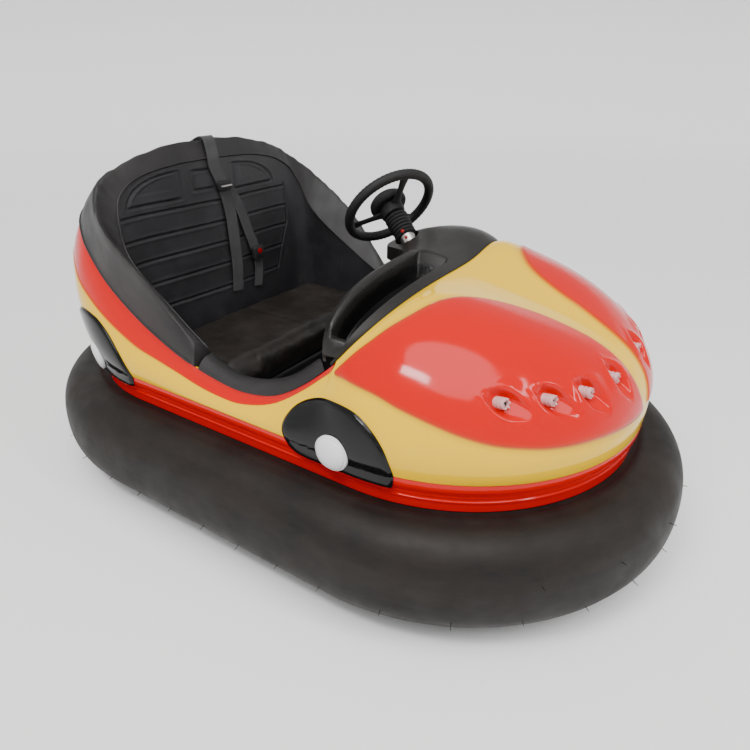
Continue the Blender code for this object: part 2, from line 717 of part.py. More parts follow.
def plan_outward(s):
    """Level unit vector pointing out of the cockpit, square to the crease line in plan."""
    ds = 2e-3
    a, b = max(S_CORNER, abs(s) - ds), min(1.0, abs(s) + ds)
    first, last = table(CREASE, a), table(CREASE, b)
    if b >= 1.0:
        return np.array([-1.0, 0.0, 0.0])
    along = last - first
    out = np.array([along[1], -along[0], 0.0])
    out /= np.linalg.norm(out)
    if out[1] < 0 and abs(s) < 0.9:
        out = -out
    return mirrored(out if out[0] <= 0.5 else -out, s)


def loop_between(start):
    """Parameters from the right-hand start round the tail to the left-hand one."""
    right = steps_between(start, 1.0)
    return right + [-s for s in reversed(right[:-1])]


def build_roll():
    """Padded roll round the seat back: from the body's rim over the crest to the crease."""
    sections = []
    for s in loop_between(ROLL_END_S):
        outer = rim_edge(s)
        crest = mirrored(table(CREST, max(abs(s), ROLL_END_S)), s)
        inner = mirrored(table(CREASE, abs(s)), s)
        up = np.array([0.0, 0.0, 1.0])
        outer = outer + ROLL_LIFT * up
        inner = inner + 0.0018 * up
        loop = [outer, outer * 0.35 + crest * 0.65 + 0.004 * up, crest, inner * 0.4 + crest * 0.6 + 0.004 * up, inner]
        loop.append((inner + outer) / 2)
        sections.append([tuple(p) for p in loop])
    return loft("rim_roll", sections, "black_vinyl", False)


def build_sills():
    """Thin padded trims from the roll's ends to the cowl."""
    for hand, side in (("right", 1), ("left", -1)):
        sections = []
        for s in steps_between(S_CORNER + 0.006, ROLL_END_S - 0.006):
            outer = rim_edge(side * s) + [0, 0, ROLL_LIFT]
            inner = mirrored(table(CREASE, s), side * s) + [0, 0, 0.0018]
            crown = (outer + inner) / 2 + [0, 0, 0.016]
            low = (outer + inner) / 2
            quarter_out = outer * 0.75 + inner * 0.25 + [0, 0, 0.012]
            quarter_in = outer * 0.25 + inner * 0.75 + [0, 0, 0.012]
            sections.append([tuple(p) for p in (outer, quarter_out, crown, quarter_in, inner, low)])
        loft(f"sill_trim_{hand}", sections, "black_vinyl", False)


def build_seat():
    deck = [p for p in stadium_outline(TUB_OUTER + FLANGE_REACH - 0.010, 12, 14) if p[0] <= DECK_FRONT_X]
    y = TUB_OUTER + FLANGE_REACH - 0.010
    deck = [(DECK_FRONT_X, -y)] + [p for p in deck if p[0] < DECK_FRONT_X - 1e-6] + [(DECK_FRONT_X, y)]
    prism("seat_deck", deck, DECK_Z, DECK_TOP, "painted_steel")
    half = TUB_INNER - 0.004
    prism("seat_riser", rectangle(DECK_FRONT_X - 0.006, DECK_FRONT_X, -half, half), PLATE_TOP + GAP, DECK_Z - GAP,
          "moulded_black")
    build_cushion()
    battery = rectangle(-0.340, -0.140, -0.250, 0.250)
    prism("battery_block", battery, PLATE_TOP + GAP, PLATE_TOP + GAP + 0.160, "battery_grey")


def build_cushion():
    """Plain solid for the bench cushion; its cover is made later."""
    x_back, x_front, half = -0.462, CUSHION_FRONT_X, 0.380
    bevel = 0.03
    z0, z1 = DECK_TOP + GAP, DECK_TOP + CUSHION_HEIGHT
    bm = bmesh.new()
    base = [(x_back + bevel, -half + 0.01), (x_front, -half), (x_front, half), (x_back + bevel, half - 0.01),
            (x_back, half - 0.06), (x_back, -half + 0.06)]
    rows = []
    for z, shrink in ((z0, 0.0), (z1 - bevel, 0.0), (z1 - bevel * 0.3, bevel * 0.3), (z1, bevel)):
        rows.append([bm.verts.new((px + (shrink if px < -0.3 else -shrink), py - math.copysign(shrink, py), z))
                     for px, py in base])
    for here, there in zip(rows, rows[1:]):
        for j in range(len(base)):
            k = (j + 1) % len(base)
            bm.faces.new((here[j], here[k], there[k], there[j]))
    bm.faces.new(rows[0])
    bm.faces.new(rows[-1])
    bmesh.ops.triangulate(bm, faces=[f for f in bm.faces if len(f.verts) > 4])
    return add_object("seat_cushion", bm, "black_vinyl")


def build_floor_plate():
    """Tread plate on the tub's floor between the drive drum and the rear wheels."""
    front = DRIVE_X - WELL_RADIUS - WELL_WALL - 0.004
    back = REAR_AXLE_X + REAR_WHEEL_RADIUS + 0.022
    half = TUB_INNER - 0.002
    prism("floor_plate", rectangle(back, front, -half, half), PLATE_Z, PLATE_TOP, "painted_steel")


# ---------------------------------------------------------------- cowl
def cowl_binnacle(y):
    """How far a cowl section belongs to the binnacle in front of the driver, 0 to 1."""
    return math.exp(-((y - BINNACLE_Y) / BINNACLE_SPREAD) ** 2)


def cowl_section(t):
    """Closed section of the cowl at arch parameter t, positive to the left."""
    side = math.copysign(1.0, t)
    foot = swelled(arch_point(abs(t)) * [1, side, 1])
    normal = arch_normal(t)
    back = np.array([-1.0, 0.0, 0.0])
    down = np.array([0.0, 0.0, -1.0])
    bump = cowl_binnacle(foot[1])
    depth = COWL_DEPTH * (1 - abs(t) ** 2.2) + BINNACLE_DEPTH * bump + 0.004
    rise = COWL_RISE * (1 - abs(t) ** 4) + BINNACLE_RISE * bump
    start = foot + 0.0010 * back
    ridge = foot + 0.45 * depth * back + rise * normal
    rear = foot + depth * back + (0.75 * rise) * normal + (BINNACLE_DROP * bump) * down
    lip = rear + COWL_LIP * (1 - 0.7 * abs(t)) * down - 0.004 * back
    outer = [start, (start + ridge) / 2 + 0.25 * rise * normal, ridge, (ridge + rear) / 2 + 0.12 * rise * normal,
             rear, lip]
    inner = [lip - COWL_WALL * back, rear - COWL_WALL * back - COWL_WALL * normal,
             (ridge + rear) / 2 - COWL_WALL * normal, ridge - COWL_WALL * normal, start - COWL_WALL * normal]
    return [tuple(p) for p in outer + inner]


def build_cowl():
    """Black padded cowl behind the bonnet's arch, with a turned-down rear edge and the driver's binnacle."""
    steps = 30
    sections = [cowl_section(-0.90 + 1.80 * i / steps) for i in range(steps + 1)]
    cowl = loft("cowl", sections, "black_vinyl", False)
    start, end = (STEERING_CENTRE + d * STEER_DIR for d in (0.060, 0.260))
    cutter = rod("cowl_column_cut", BOOT_RADIUS + 0.0020, start, end, "painted_steel")
    subtract(cowl, cutter)
    build_dash()


def subtract(target, cutter):
    """Boolean away a hidden cutter from the target."""
    cutter.hide_render = True
    cutter.display_type = "WIRE"
    cut = target.modifiers.new(cutter.name, "BOOLEAN")
    cut.object = cutter
    cut.operation = "DIFFERENCE"
    cut.solver = "EXACT"


def build_dash():
    """Bulkhead under the cowl, standing on the drive drum and leaning forward with the arch."""
    z_foot = WELL_TOP_Z + GAP
    z_top = ARCH_FOOT_Z + 0.76 * ARCH_RISE
    sections = []
    for z in (z_foot, ARCH_FOOT_Z, *np.linspace(ARCH_FOOT_Z, z_top, 7)[1:]):
        share = max(0.0, (z - ARCH_FOOT_Z) / (z_top - ARCH_FOOT_Z))
        x = CORNER_X + ARCH_RAKE * max(0.0, z - ARCH_FOOT_Z)
        half = DASH_HALF_WIDTH * math.sqrt(1 - 0.93 * share ** 2)
        sections.append([(x, -half, z), (x + DASH_WALL, -half, z), (x + DASH_WALL, half, z), (x, half, z)])
    dash = loft("dash_panel", sections, "moulded_black", False)
    start, end = (STEERING_CENTRE + d * STEER_DIR for d in (0.280, 0.370))
    subtract(dash, rod("dash_column_cut", COLUMN_RADIUS + GAP, start, end, "painted_steel"))


def arch_normal(t):
    """Outward unit normal of the arch in its cross plane."""
    d = 1e-3
    side = math.copysign(1.0, t) if t else 1.0
    a = abs(t)
    lo, hi = max(0.0, a - d), min(1.0, a + d)
    along = arch_point(hi) - arch_point(lo)
    if a < 1e-6:
        return np.array([0.0, 0.0, 1.0])
    normal = np.array([0.0, -along[2], along[1]])
    normal /= np.linalg.norm(normal)
    if normal[2] < 0:
        normal = -normal
    return np.array([0.0, side * abs(normal[1]), normal[2]])


# ---------------------------------------------------------------- steering
def build_steering():
    centre = STEERING_CENTRE
    axis = STEER_DIR
    side, up = frame_for(axis)
    ring_steps, tube_steps = 36, 10
    sections = []
    for i in range(ring_steps):
        a = 2 * math.pi * i / ring_steps
        out = math.cos(a) * side + math.sin(a) * up
        middle = centre + STEERING_RADIUS * out
        sections.append([tuple(middle + STEERING_TUBE * (math.cos(b) * out + math.sin(b) * axis))
                         for b in (2 * math.pi * j / tube_steps for j in range(tube_steps))])
    wheel = loft("steering_wheel", sections, "moulded_black", True, tuple(centre))
    hub = turned("steering_hub_tool", [(0.001, 0.004), (0.034, 0.004), (0.034, 0.034), (0.001, 0.034)], centre, axis,
                 "moulded_black", 20)
    join(wheel, hub)
    for i in range(3):
        a = -math.pi / 2 + 2 * math.pi * i / 3
        out = math.cos(a) * side + math.sin(a) * up
        across = np.cross(axis, out)
        start = centre + 0.020 * out + 0.018 * axis
        end = centre + (STEERING_RADIUS - 0.004) * out + 0.003 * axis
        ends = []
        for point, width, thick in ((start, 0.017, 0.006), (end, 0.011, 0.005)):
            ends.append([tuple(point + width * across * sx + thick * axis * sz)
                         for sx, sz in ((-1, -1), (1, -1), (1, 1), (-1, 1))])
        spoke = loft(f"steering_spoke_tool_{i}", ends, "moulded_black", False)
        join(wheel, spoke)
    turned("wheel_pad", [(0.001, 0.003), (0.052, 0.003), (0.056, -0.006), (0.052, -0.020), (0.035, -0.028),
                         (0.001, -0.030)], centre, axis, "moulded_black", 24, tuple(centre))
    hub_end = 0.034
    rod("steering_shaft", SHAFT_RADIUS, centre + (hub_end + GAP) * axis, centre + (COLUMN_END + 0.012) * axis,
        "bright_steel", 20, tuple(centre))
    bore = SHAFT_RADIUS + 0.0006
    boot_start = hub_end + RUN_GAP
    pitch = (COLUMN_START - GAP - boot_start) / BOOT_FOLDS
    boot = [(bore, boot_start)]
    for i in range(BOOT_FOLDS):
        base = boot_start + i * pitch
        boot += [(BOOT_RADIUS - 0.006, base), (BOOT_RADIUS, base + pitch / 2)]
    boot += [(BOOT_RADIUS - 0.006, boot_start + BOOT_FOLDS * pitch), (bore, boot_start + BOOT_FOLDS * pitch)]
    turned("column_boot", boot, centre, axis, "moulded_black", 24)
    tube = [(bore, COLUMN_START), (COLUMN_RADIUS, COLUMN_START), (COLUMN_RADIUS, COLUMN_END), (bore, COLUMN_END)]
    turned("column_tube", tube, centre, axis, "bright_steel", 24)


def join(target, tool):
    """Boolean union of a hidden tool into the target."""
    tool.hide_render = True
    tool.display_type = "WIRE"
    union = target.modifiers.new(tool.name, "BOOLEAN")
    union.object = tool
    union.operation = "UNION"
    union.solver = "EXACT"


# ---------------------------------------------------------------- drive unit and rear wheels
def build_drive():
    inner, outer = WELL_RADIUS, WELL_RADIUS + WELL_WALL
    plate_z = WELL_TOP_Z - WELL_WALL
    bearing = KINGPIN_RADIUS + 0.0006
    turned("drive_well", [
        (inner, PLATE_Z), (outer, PLATE_Z), (outer, WELL_TOP_Z), (0.034, WELL_TOP_Z), (0.034, WELL_TOP_Z + 0.040),
        (bearing, WELL_TOP_Z + 0.040), (bearing, plate_z), (inner, plate_z)], (DRIVE_X, 0, 0), (0, 0, 1),
        "painted_steel", 40)
    r = DRIVE_WHEEL_RADIUS
    half = DRIVE_WHEEL_WIDTH / 2
    gap = RUN_GAP
    fork_top = plate_z - RUN_GAP - 0.002
    cheek = half + gap
    origin = (DRIVE_X, 0.0, r)
    plate = rectangle(DRIVE_X - 0.050, DRIVE_X + 0.050, -cheek - FORK_PLATE, cheek + FORK_PLATE)
    fork = prism("drive_fork", plate, fork_top - FORK_PLATE, fork_top, "painted_steel", (), (DRIVE_X, 0.0, 0.0))
    join(fork, rod("kingpin_tool", KINGPIN_RADIUS, (DRIVE_X, 0, fork_top - 0.004), (DRIVE_X, 0, WELL_TOP_Z + 0.060),
                   "painted_steel"))
    for side in (-1, 1):
        y0, y1 = side * cheek, side * (cheek + FORK_PLATE)
        outline = [(-0.050, fork_top - 0.002), (0.050, fork_top - 0.002), (0.032, r - 0.032), (-0.032, r - 0.032)]
        ends = [[(DRIVE_X + x, y, z) for x, z in outline] for y in (y0, y1)]
        join(fork, loft(f"fork_cheek_tool_{side + 1}", ends, "painted_steel", False))
    join(fork, rod("drive_axle_tool", AXLE_RADIUS, (DRIVE_X, -cheek - 0.004, r), (DRIVE_X, cheek + 0.004, r),
                   "painted_steel"))
    motor_y = cheek + FORK_PLATE + GAP
    turned("drive_motor", [(0.001, 0.0), (0.052, 0.0), (0.056, 0.006), (0.056, 0.110), (0.048, 0.120),
                           (0.001, 0.120)], (DRIVE_X, motor_y, r + 0.035), (0, 1, 0), "painted_steel", 28, origin)
    wheel("drive", (DRIVE_X, 0.0, r), r, DRIVE_WHEEL_WIDTH, DRIVE_HUB_RADIUS)


def wheel(label, centre, radius, width, hub_radius, suffix=""):
    """Solid rubber tyre and its steel hub, each with its origin on the axle."""
    half = width / 2
    bead = half - 0.004
    tyre = [(hub_radius + GAP, -bead), (radius - 0.012, -half), (radius - 0.002, -half + 0.010), (radius, -half * 0.4),
            (radius, half * 0.4), (radius - 0.002, half - 0.010), (radius - 0.012, half), (hub_radius + GAP, bead)]
    turned(f"{label}_tyre{suffix}", tyre, centre, (0, 1, 0), "black_rubber", 36, centre)
    bore = AXLE_RADIUS + AXLE_CLEAR
    dish = half * 0.45
    hub = [(bore, -half + 0.002), (0.026, -half + 0.002), (0.030, -dish), (hub_radius - 0.010, -dish),
           (hub_radius, -bead), (hub_radius, bead), (hub_radius - 0.010, dish), (0.030, dish),
           (0.026, half - 0.002), (bore, half - 0.002)]
    turned(f"{label}_hub{suffix}", hub, centre, (0, 1, 0), "painted_steel", 36, centre)


def build_rear_wheels():
    r = REAR_WHEEL_RADIUS
    cheek = REAR_WHEEL_WIDTH / 2 + RUN_GAP
    top = 2 * r + 0.012
    low = r - 0.028
    for side, hand in ((-1, "right"), (1, "left")):
        y = side * REAR_TRACK_HALF
        centre = (REAR_AXLE_X, y, r)
        channel = [(-cheek - BRACKET_PLATE, low, -cheek, low), (-cheek - BRACKET_PLATE, top + BRACKET_PLATE, -cheek, top),
                   (cheek + BRACKET_PLATE, top + BRACKET_PLATE, cheek, top), (cheek + BRACKET_PLATE, low, cheek, low)]
        x0, x1 = REAR_AXLE_X - 0.030, REAR_AXLE_X + 0.030
        sections = [[(x0, y + yo, zo), (x1, y + yo, zo), (x1, y + yi, zi), (x0, y + yi, zi)]
                    for yo, zo, yi, zi in channel]
        loft(f"rear_bracket_{hand}", sections, "painted_steel", False)
        rod(f"rear_axle_{hand}", AXLE_RADIUS, (REAR_AXLE_X, y - cheek + GAP, r), (REAR_AXLE_X, y + cheek - GAP, r),
            "bright_steel", 20)
        wheel("rear", centre, r, REAR_WHEEL_WIDTH, REAR_HUB_RADIUS, f"_{hand}")


# ---------------------------------------------------------------- lamps, pedal and belt
def build_lamps():
    """Four lamp sockets along the front of each red lobe."""
    for i, place in enumerate(LAMP_PLACES, 1):
        s, v = place_on_body(np.array(place) * [1, -1, 1])
        for hand, side in (("right", 1), ("left", -1)):
            point, normal = on_faces(side * s, v)
            profile = [(0.0005, 0.0), (LAMP_RADIUS, 0.0), (LAMP_RADIUS, LAMP_LENGTH * 0.7),
                       (LAMP_RADIUS * 0.7, LAMP_LENGTH), (0.0005, LAMP_LENGTH)]
            turned(f"lamp_{hand}_{i}", profile, point + LAMP_LIFT * normal, normal, "lamp_pink", 16)


def build_pedal():
    outline = [(0.150, PLATE_TOP + GAP), (0.176, PLATE_TOP + GAP), (0.196, PLATE_TOP + 0.080),
               (0.182, PLATE_TOP + 0.086)]
    ends = [[(x, y, z) for x, z in outline] for y in (0.140, 0.205)]
    loft("accelerator_pedal", ends, "painted_steel", False)


def strap(name, points, width, thickness, across, material_name):
    """Flat webbing along points, with its width along the across vector."""
    path = spline(points, 3 * len(points))
    across = np.asarray(across, float)
    sections = []
    for i, p in enumerate(path):
        ahead = path[min(i + 1, len(path) - 1)] - path[max(i - 1, 0)]
        ahead /= np.linalg.norm(ahead)
        wide = across - (across @ ahead) * ahead
        wide /= np.linalg.norm(wide)
        thick = np.cross(ahead, wide)
        sections.append([tuple(p + width / 2 * sx * wide + thickness / 2 * sz * thick)
                         for sx, sz in ((-1, -1), (1, -1), (1, 1), (-1, 1))])
    return loft(name, sections, material_name, False)


def back_x(y, z, half_width):
    """Foremost x of the seat back across a strip of it at height z."""
    starts = [Vector((-0.30, y + k * half_width, z)) for k in (-1, 0, 1)]
    return max(LINER_FACES[0].ray_cast(start, Vector((-1, 0, 0)), 0.5)[0][0] for start in starts)


def on_back(y, z, lift):
    """Point on the seat back's face at (y, z), lifted off it."""
    return (back_x(y, z, BELT_WIDTH / 2) + lift, y, z)


def build_belt():
    """Shoulder belt over the roll and down the seat back, its adjuster, the lap belt and its buckle."""
    lift = BELT_LIFT + BELT_THICKNESS / 2
    over = [(-0.692, 0.0, 0.8150), (-0.640, 0.0, 0.8535), (-0.5835, 0.0, 0.8900), (-0.550, 0.0, 0.9085),
            (-0.518, 0.0, 0.9262), (-0.5085, -0.001, 0.9200), (-0.5025, -0.002, 0.9075), (-0.4892, -0.003, 0.8720)]
    down = [on_back(y, z, lift) for y, z in ((-0.002, 0.850), (0.016, 0.810), (0.032, 0.760), (0.044, 0.690),
                                             (0.047, 0.600), (0.046, 0.520), (0.036, 0.440))]
    strap("belt_shoulder", over + down, BELT_WIDTH, BELT_THICKNESS, (0, 1, 0), "webbing")
    lap = [on_back(y, z, lift) for y, z in ((0.086, 0.740), (0.096, 0.680), (0.118, 0.620), (0.140, 0.560),
                                            (0.150, 0.500), (0.136, 0.430))]
    strap("belt_lap", lap, BELT_WIDTH * 0.85, BELT_THICKNESS, (0, 1, 0), "webbing")
    for name, y, z, wide, tall, deep in (("belt_adjuster", 0.024, 0.786, 0.054, 0.030, 0.009),
                                         ("belt_buckle", 0.143, 0.548, 0.050, 0.046, 0.014)):
        x = back_x(y, z, wide / 2) + BELT_LIFT + BELT_THICKNESS + 0.0009
        ends = [[(x + dx, y + sy * wide / 2 * k, z + sz * tall / 2 * k) for sy, sz in
                 ((-1, -1), (1, -1), (1, 1), (-1, 1))] for dx, k in ((0.0, 1.0), (deep * 0.7, 1.0), (deep, 0.86))]
        loft(name, ends, "moulded_black", False)


def main():
    for old in list(bpy.data.objects):
        bpy.data.objects.remove(old, do_unlink=True)
    build_ring()
    build_tub()
    build_skirt()
    build_body()
    build_discs()
    build_liner()
    build_roll()
    build_sills()
    build_seat()
    build_floor_plate()
    build_cowl()
    build_steering()
    build_drive()
    build_rear_wheels()
    build_lamps()
    build_belt()
    build_pedal()


main()
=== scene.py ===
"""Visual model of a fairground bumper car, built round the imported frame."""
import math

import bmesh
import bpy
import numpy as np
from mathutils import Matrix, Vector
from mathutils.bvhtree import BVHTree


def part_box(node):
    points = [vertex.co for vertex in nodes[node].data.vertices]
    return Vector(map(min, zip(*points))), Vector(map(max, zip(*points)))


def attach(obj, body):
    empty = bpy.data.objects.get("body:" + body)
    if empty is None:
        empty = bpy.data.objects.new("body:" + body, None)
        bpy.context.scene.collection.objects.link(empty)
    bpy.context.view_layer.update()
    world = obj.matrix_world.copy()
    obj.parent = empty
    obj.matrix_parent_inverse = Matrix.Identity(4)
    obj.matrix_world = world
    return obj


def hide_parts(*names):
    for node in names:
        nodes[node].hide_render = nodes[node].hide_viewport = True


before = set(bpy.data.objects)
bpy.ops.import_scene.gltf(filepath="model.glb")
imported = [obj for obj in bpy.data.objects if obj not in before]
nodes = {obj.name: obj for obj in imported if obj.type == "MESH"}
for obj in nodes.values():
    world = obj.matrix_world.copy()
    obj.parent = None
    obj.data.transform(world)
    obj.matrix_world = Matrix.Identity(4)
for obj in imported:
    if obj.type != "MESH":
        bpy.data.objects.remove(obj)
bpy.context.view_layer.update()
random = np.random.default_rng(7)

# ---------------------------------------------------------------- sizes shared with the CAD, in metres
END_X = 0.359                   # centre of each round end
BODY_HALF = 0.490
BODY_EDGE_Z = 0.365
BODY_WALL = 0.006
RING_OUT, RING_SECTION, RING_BOTTOM, RING_HEIGHT = 0.616, 0.104, 0.042, 0.250
RING_ROUNDNESS = 2.4
SKIRT_FOOT = 0.2885             # about 11 mm lower than in the CAD
CORNER_X = 0.262
ARCH_HALF, ARCH_FOOT, ARCH_RISE, ARCH_POWER = 0.420, 0.537, 0.131, 2.35
ARCH_RAKE, ARCH_BOW = 0.80, -0.020
SWELL = (0.330, 0.250, 0.090, 0.120, 0.034)      # bonnet swelling: x, y, length, width, height
STEER_CENTRE = np.array([0.040, 0.170, 0.758])
STEER_DIR = np.array([0.730, -0.330, -0.598]) / np.linalg.norm([0.730, -0.330, -0.598])
LAMPS = ((0.661, 0.361, 0.549), (0.729, 0.283, 0.534), (0.772, 0.194, 0.525), (0.792, 0.094, 0.518))


# ---------------------------------------------------------------- curves and surfaces
def hermite(keys, s):
    """Read a smooth table with rows of (s, value, ...) at one place or at many."""
    rows = np.asarray(keys, float)
    x = rows[:, 0]
    slopes = np.gradient(rows[:, 1:], x, axis=0)
    i = int(np.clip(np.searchsorted(x, s) - 1, 0, len(x) - 2))
    h = x[i + 1] - x[i]
    t = min(1.0, max(0.0, (s - x[i]) / h))
    return ((2 * t ** 3 - 3 * t ** 2 + 1) * rows[i, 1:] + (t ** 3 - 2 * t ** 2 + t) * h * slopes[i]
            + (3 * t ** 2 - 2 * t ** 3) * rows[i + 1, 1:] + (t ** 3 - t ** 2) * h * slopes[i + 1])


def spline(points, count, closed=False):
    """Smooth curve through points, sampled evenly along its parameter."""
    pts = np.asarray(points, float)
    if closed:
        padded = np.vstack([pts[-1], pts, pts[0], pts[1]])
        params = np.linspace(0, len(pts), count, endpoint=False)
        last = len(pts) - 1
    else:
        padded = np.vstack([2 * pts[0] - pts[1], pts, 2 * pts[-1] - pts[-2]])
        params = np.linspace(0, len(pts) - 1, count)
        last = len(pts) - 2
    out = []
    for u in params:
        i = min(int(u), last)
        t = u - i
        a, b, c, d = padded[i:i + 4]
        out.append(0.5 * (2 * b + (c - a) * t + (2 * a - 5 * b + 4 * c - d) * t * t + (3 * b - a - 3 * c + d)
                          * t ** 3))
    return np.array(out)


def smoothstep(lo, hi, x):
    t = np.clip((x - lo) / (hi - lo), 0, 1)
    return t * t * (3 - 2 * t)


QUARTER = math.pi / 2 * BODY_HALF
HALF_LENGTH = 2 * QUARTER + 2 * END_X


def s_at_x(x):
    return (QUARTER + END_X - x) / HALF_LENGTH


def stadium(reach, s):
    """Point and outward direction on a stadium; s runs 0 at the nose to 1 at the tail, minus on the left."""
    along = abs(s) * HALF_LENGTH
    if along < QUARTER:
        angle, cx = along / BODY_HALF, END_X
    elif along < QUARTER + 2 * END_X:
        angle, cx = math.pi / 2, END_X - (along - QUARTER)
    else:
        angle, cx = math.pi / 2 + (along - QUARTER - 2 * END_X) / BODY_HALF, -END_X
    side = -1.0 if s >= 0 else 1.0
    normal = np.array([math.cos(angle), side * math.sin(angle), 0.0])
    return np.array([cx, 0.0, 0.0]) + reach * normal, normal


def arch(turn):
    """Rear edge of the bonnet: 0 at its top, 1 at its foot."""
    c, s = math.cos(turn * math.pi / 2), math.sin(turn * math.pi / 2)
    y = ARCH_HALF * s ** (2 / ARCH_POWER)
    rise = ARCH_RISE * max(0.0, c) ** (2 / ARCH_POWER)
    x = CORNER_X + ARCH_BOW + ARCH_RAKE * rise - ARCH_BOW * (y / ARCH_HALF) ** 2
    return np.array([x, y, ARCH_FOOT + rise])


S_CORNER = s_at_x(CORNER_X)
RIM = [
    (S_CORNER, CORNER_X, 0.420, 0.537), (s_at_x(0.20), 0.205, 0.433, 0.487),
    (s_at_x(0.12), 0.125, 0.447, 0.437),
    (s_at_x(0.03), 0.030, 0.456, 0.419), (s_at_x(-0.08), -0.080, 0.459, 0.430),
    (s_at_x(-0.20), -0.200, 0.456, 0.459),
    (s_at_x(-0.31), -0.310, 0.451, 0.501), (0.688, -0.400, 0.446, 0.547), (0.760, -0.505, 0.436, 0.620),
    (0.825, -0.590, 0.412, 0.697), (0.880, -0.650, 0.362, 0.747), (0.920, -0.680, 0.290, 0.775),
    (0.965, -0.700, 0.150, 0.797), (1.0, -0.705, 0.0, 0.803),
]
BULGE = [
    (0.0, 0.022, 0.215, 0.342, 0.065), (0.09, 0.067, 0.205, 0.149, -0.053),
    (0.18, 0.069, 0.120, 0.150, -0.035),
    (0.27, 0.029, 0.089, 0.123, 0.073), (0.34, 0.015, 0.070, 0.063, 0.092),
    (S_CORNER, 0.010, 0.060, 0.020, 0.050), (0.50, 0.004, 0.020, 0.004, 0.020),
    (0.66, 0.020, 0.060, 0.015, 0.050),
    (0.80, 0.040, 0.120, 0.060, 0.120), (1.0, 0.045, 0.150, 0.125, 0.105),
]
CREASE = [
    (S_CORNER, 0.215, 0.392, 0.530), (s_at_x(0.12), 0.110, 0.396, 0.455), (s_at_x(0.03), 0.020, 0.399, 0.428),
    (s_at_x(-0.08), -0.085, 0.399, 0.438), (s_at_x(-0.20), -0.190, 0.397, 0.490),
    (s_at_x(-0.31), -0.285, 0.393, 0.550),
    (0.688, -0.365, 0.391, 0.602), (0.760, -0.440, 0.387, 0.670), (0.825, -0.475, 0.370, 0.755),
    (0.880, -0.495, 0.335, 0.810), (0.920, -0.503, 0.270, 0.842), (0.965, -0.498, 0.140, 0.863),
    (1.0, -0.492, 0.0, 0.868),
]
CREST = [
    (s_at_x(-0.14), -0.150, 0.436, 0.490), (s_at_x(-0.20), -0.205, 0.445, 0.550),
    (s_at_x(-0.31), -0.290, 0.457, 0.640),
    (0.688, -0.355, 0.459, 0.690), (0.760, -0.440, 0.450, 0.755), (0.825, -0.510, 0.405, 0.818),
    (0.880, -0.535, 0.345, 0.858), (0.920, -0.535, 0.270, 0.884), (0.965, -0.522, 0.140, 0.912),
    (1.0, -0.515, 0.0, 0.922),
]
ROLL_END_S = s_at_x(-0.14)


def swelled(p):
    sx, sy, sl, sw, sh = SWELL
    return p + np.array([0, 0, sh * math.exp(-((p[0] - sx) / sl) ** 2 - ((p[1] - sy) / sw) ** 2)])


def on_side(p, s):
    return np.array([p[0], -p[1] if s >= 0 else p[1], p[2]])


def plain_rim(s):
    return on_side(arch(abs(s) / S_CORNER) if abs(s) < S_CORNER else hermite(RIM, abs(s)), s)


def rim(s):
    return swelled(plain_rim(s))


def body_row(s, heights):
    """Points of the body's outer face at s for each v in heights."""
    foot, out = stadium(BODY_HALF, s)
    foot = foot + [0, 0, BODY_EDGE_Z]
    top = plain_rim(s)
    low_out, low_up, high_out, high_down = hermite(BULGE, abs(s))
    low = foot + low_out * out + [0, 0, low_up]
    high = top + high_out * out - [0, 0, high_down]
    v = np.asarray(heights, float)[:, None]
    w = 1 - v
    points = w ** 3 * foot + 3 * w * w * v * low + 3 * w * v * v * high + v ** 3 * top
    return np.array([swelled(p) for p in points])


# ---------------------------------------------------------------- materials
def new_material(name, colour, rough, metal=0.0, coat=0.0, coat_rough=0.05, sheen=0.0, specular=0.5):
    mat = bpy.data.materials.new(name)
    mat.use_nodes = True
    shader = mat.node_tree.nodes["Principled BSDF"]
    shader.inputs["Base Color"].default_value = (*colour, 1)
    shader.inputs["Roughness"].default_value = rough
    shader.inputs["Metallic"].default_value = metal
    shader.inputs["Coat Weight"].default_value = coat
    shader.inputs["Coat Roughness"].default_value = coat_rough
    shader.inputs["Sheen Weight"].default_value = sheen
    shader.inputs["Specular IOR Level"].default_value = specular
    return mat, shader


def noise(nt, scale, detail=4.0, rough=0.55, stretch=None):
    """Noise in object coordinates, in features per metre."""
    coords = nt.nodes.new("ShaderNodeTexCoord")
    tex = nt.nodes.new("ShaderNodeTexNoise")
    tex.inputs["Scale"].default_value = scale
    tex.inputs["Detail"].default_value = detail
    tex.inputs["Roughness"].default_value = rough
    source = coords.outputs["Object"]
    if stretch is not None:
        mapping = nt.nodes.new("ShaderNodeMapping")
        mapping.inputs["Scale"].default_value = stretch
        nt.links.new(source, mapping.inputs["Vector"])
        source = mapping.outputs["Vector"]
    nt.links.new(source, tex.inputs["Vector"])
    return tex.outputs["Fac"]


def ramp(nt, source, stops):
    node = nt.nodes.new("ShaderNodeValToRGB")
    elements = node.color_ramp.elements
    while len(elements) < len(stops):
        elements.new(0.5)
    for element, (pos, value) in zip(elements, stops):
        element.position = pos
        element.color = (value, value, value, 1) if not hasattr(value, "__len__") else (*value, 1)
    nt.links.new(source, node.inputs["Fac"])
    return node.outputs["Color"]


def blend_colour(nt, factor, a, b, mode="MIX"):
    node = nt.nodes.new("ShaderNodeMix")
    node.data_type = "RGBA"
    node.blend_type = mode
    for socket, value in ((node.inputs[0], factor), (node.inputs[6], a), (node.inputs[7], b)):
        if hasattr(value, "links") or isinstance(value, bpy.types.NodeSocket):
            nt.links.new(value, socket)
        else:
            socket.default_value = value if not hasattr(value, "__len__") else (*value[:3], 1)
    return node.outputs[2]


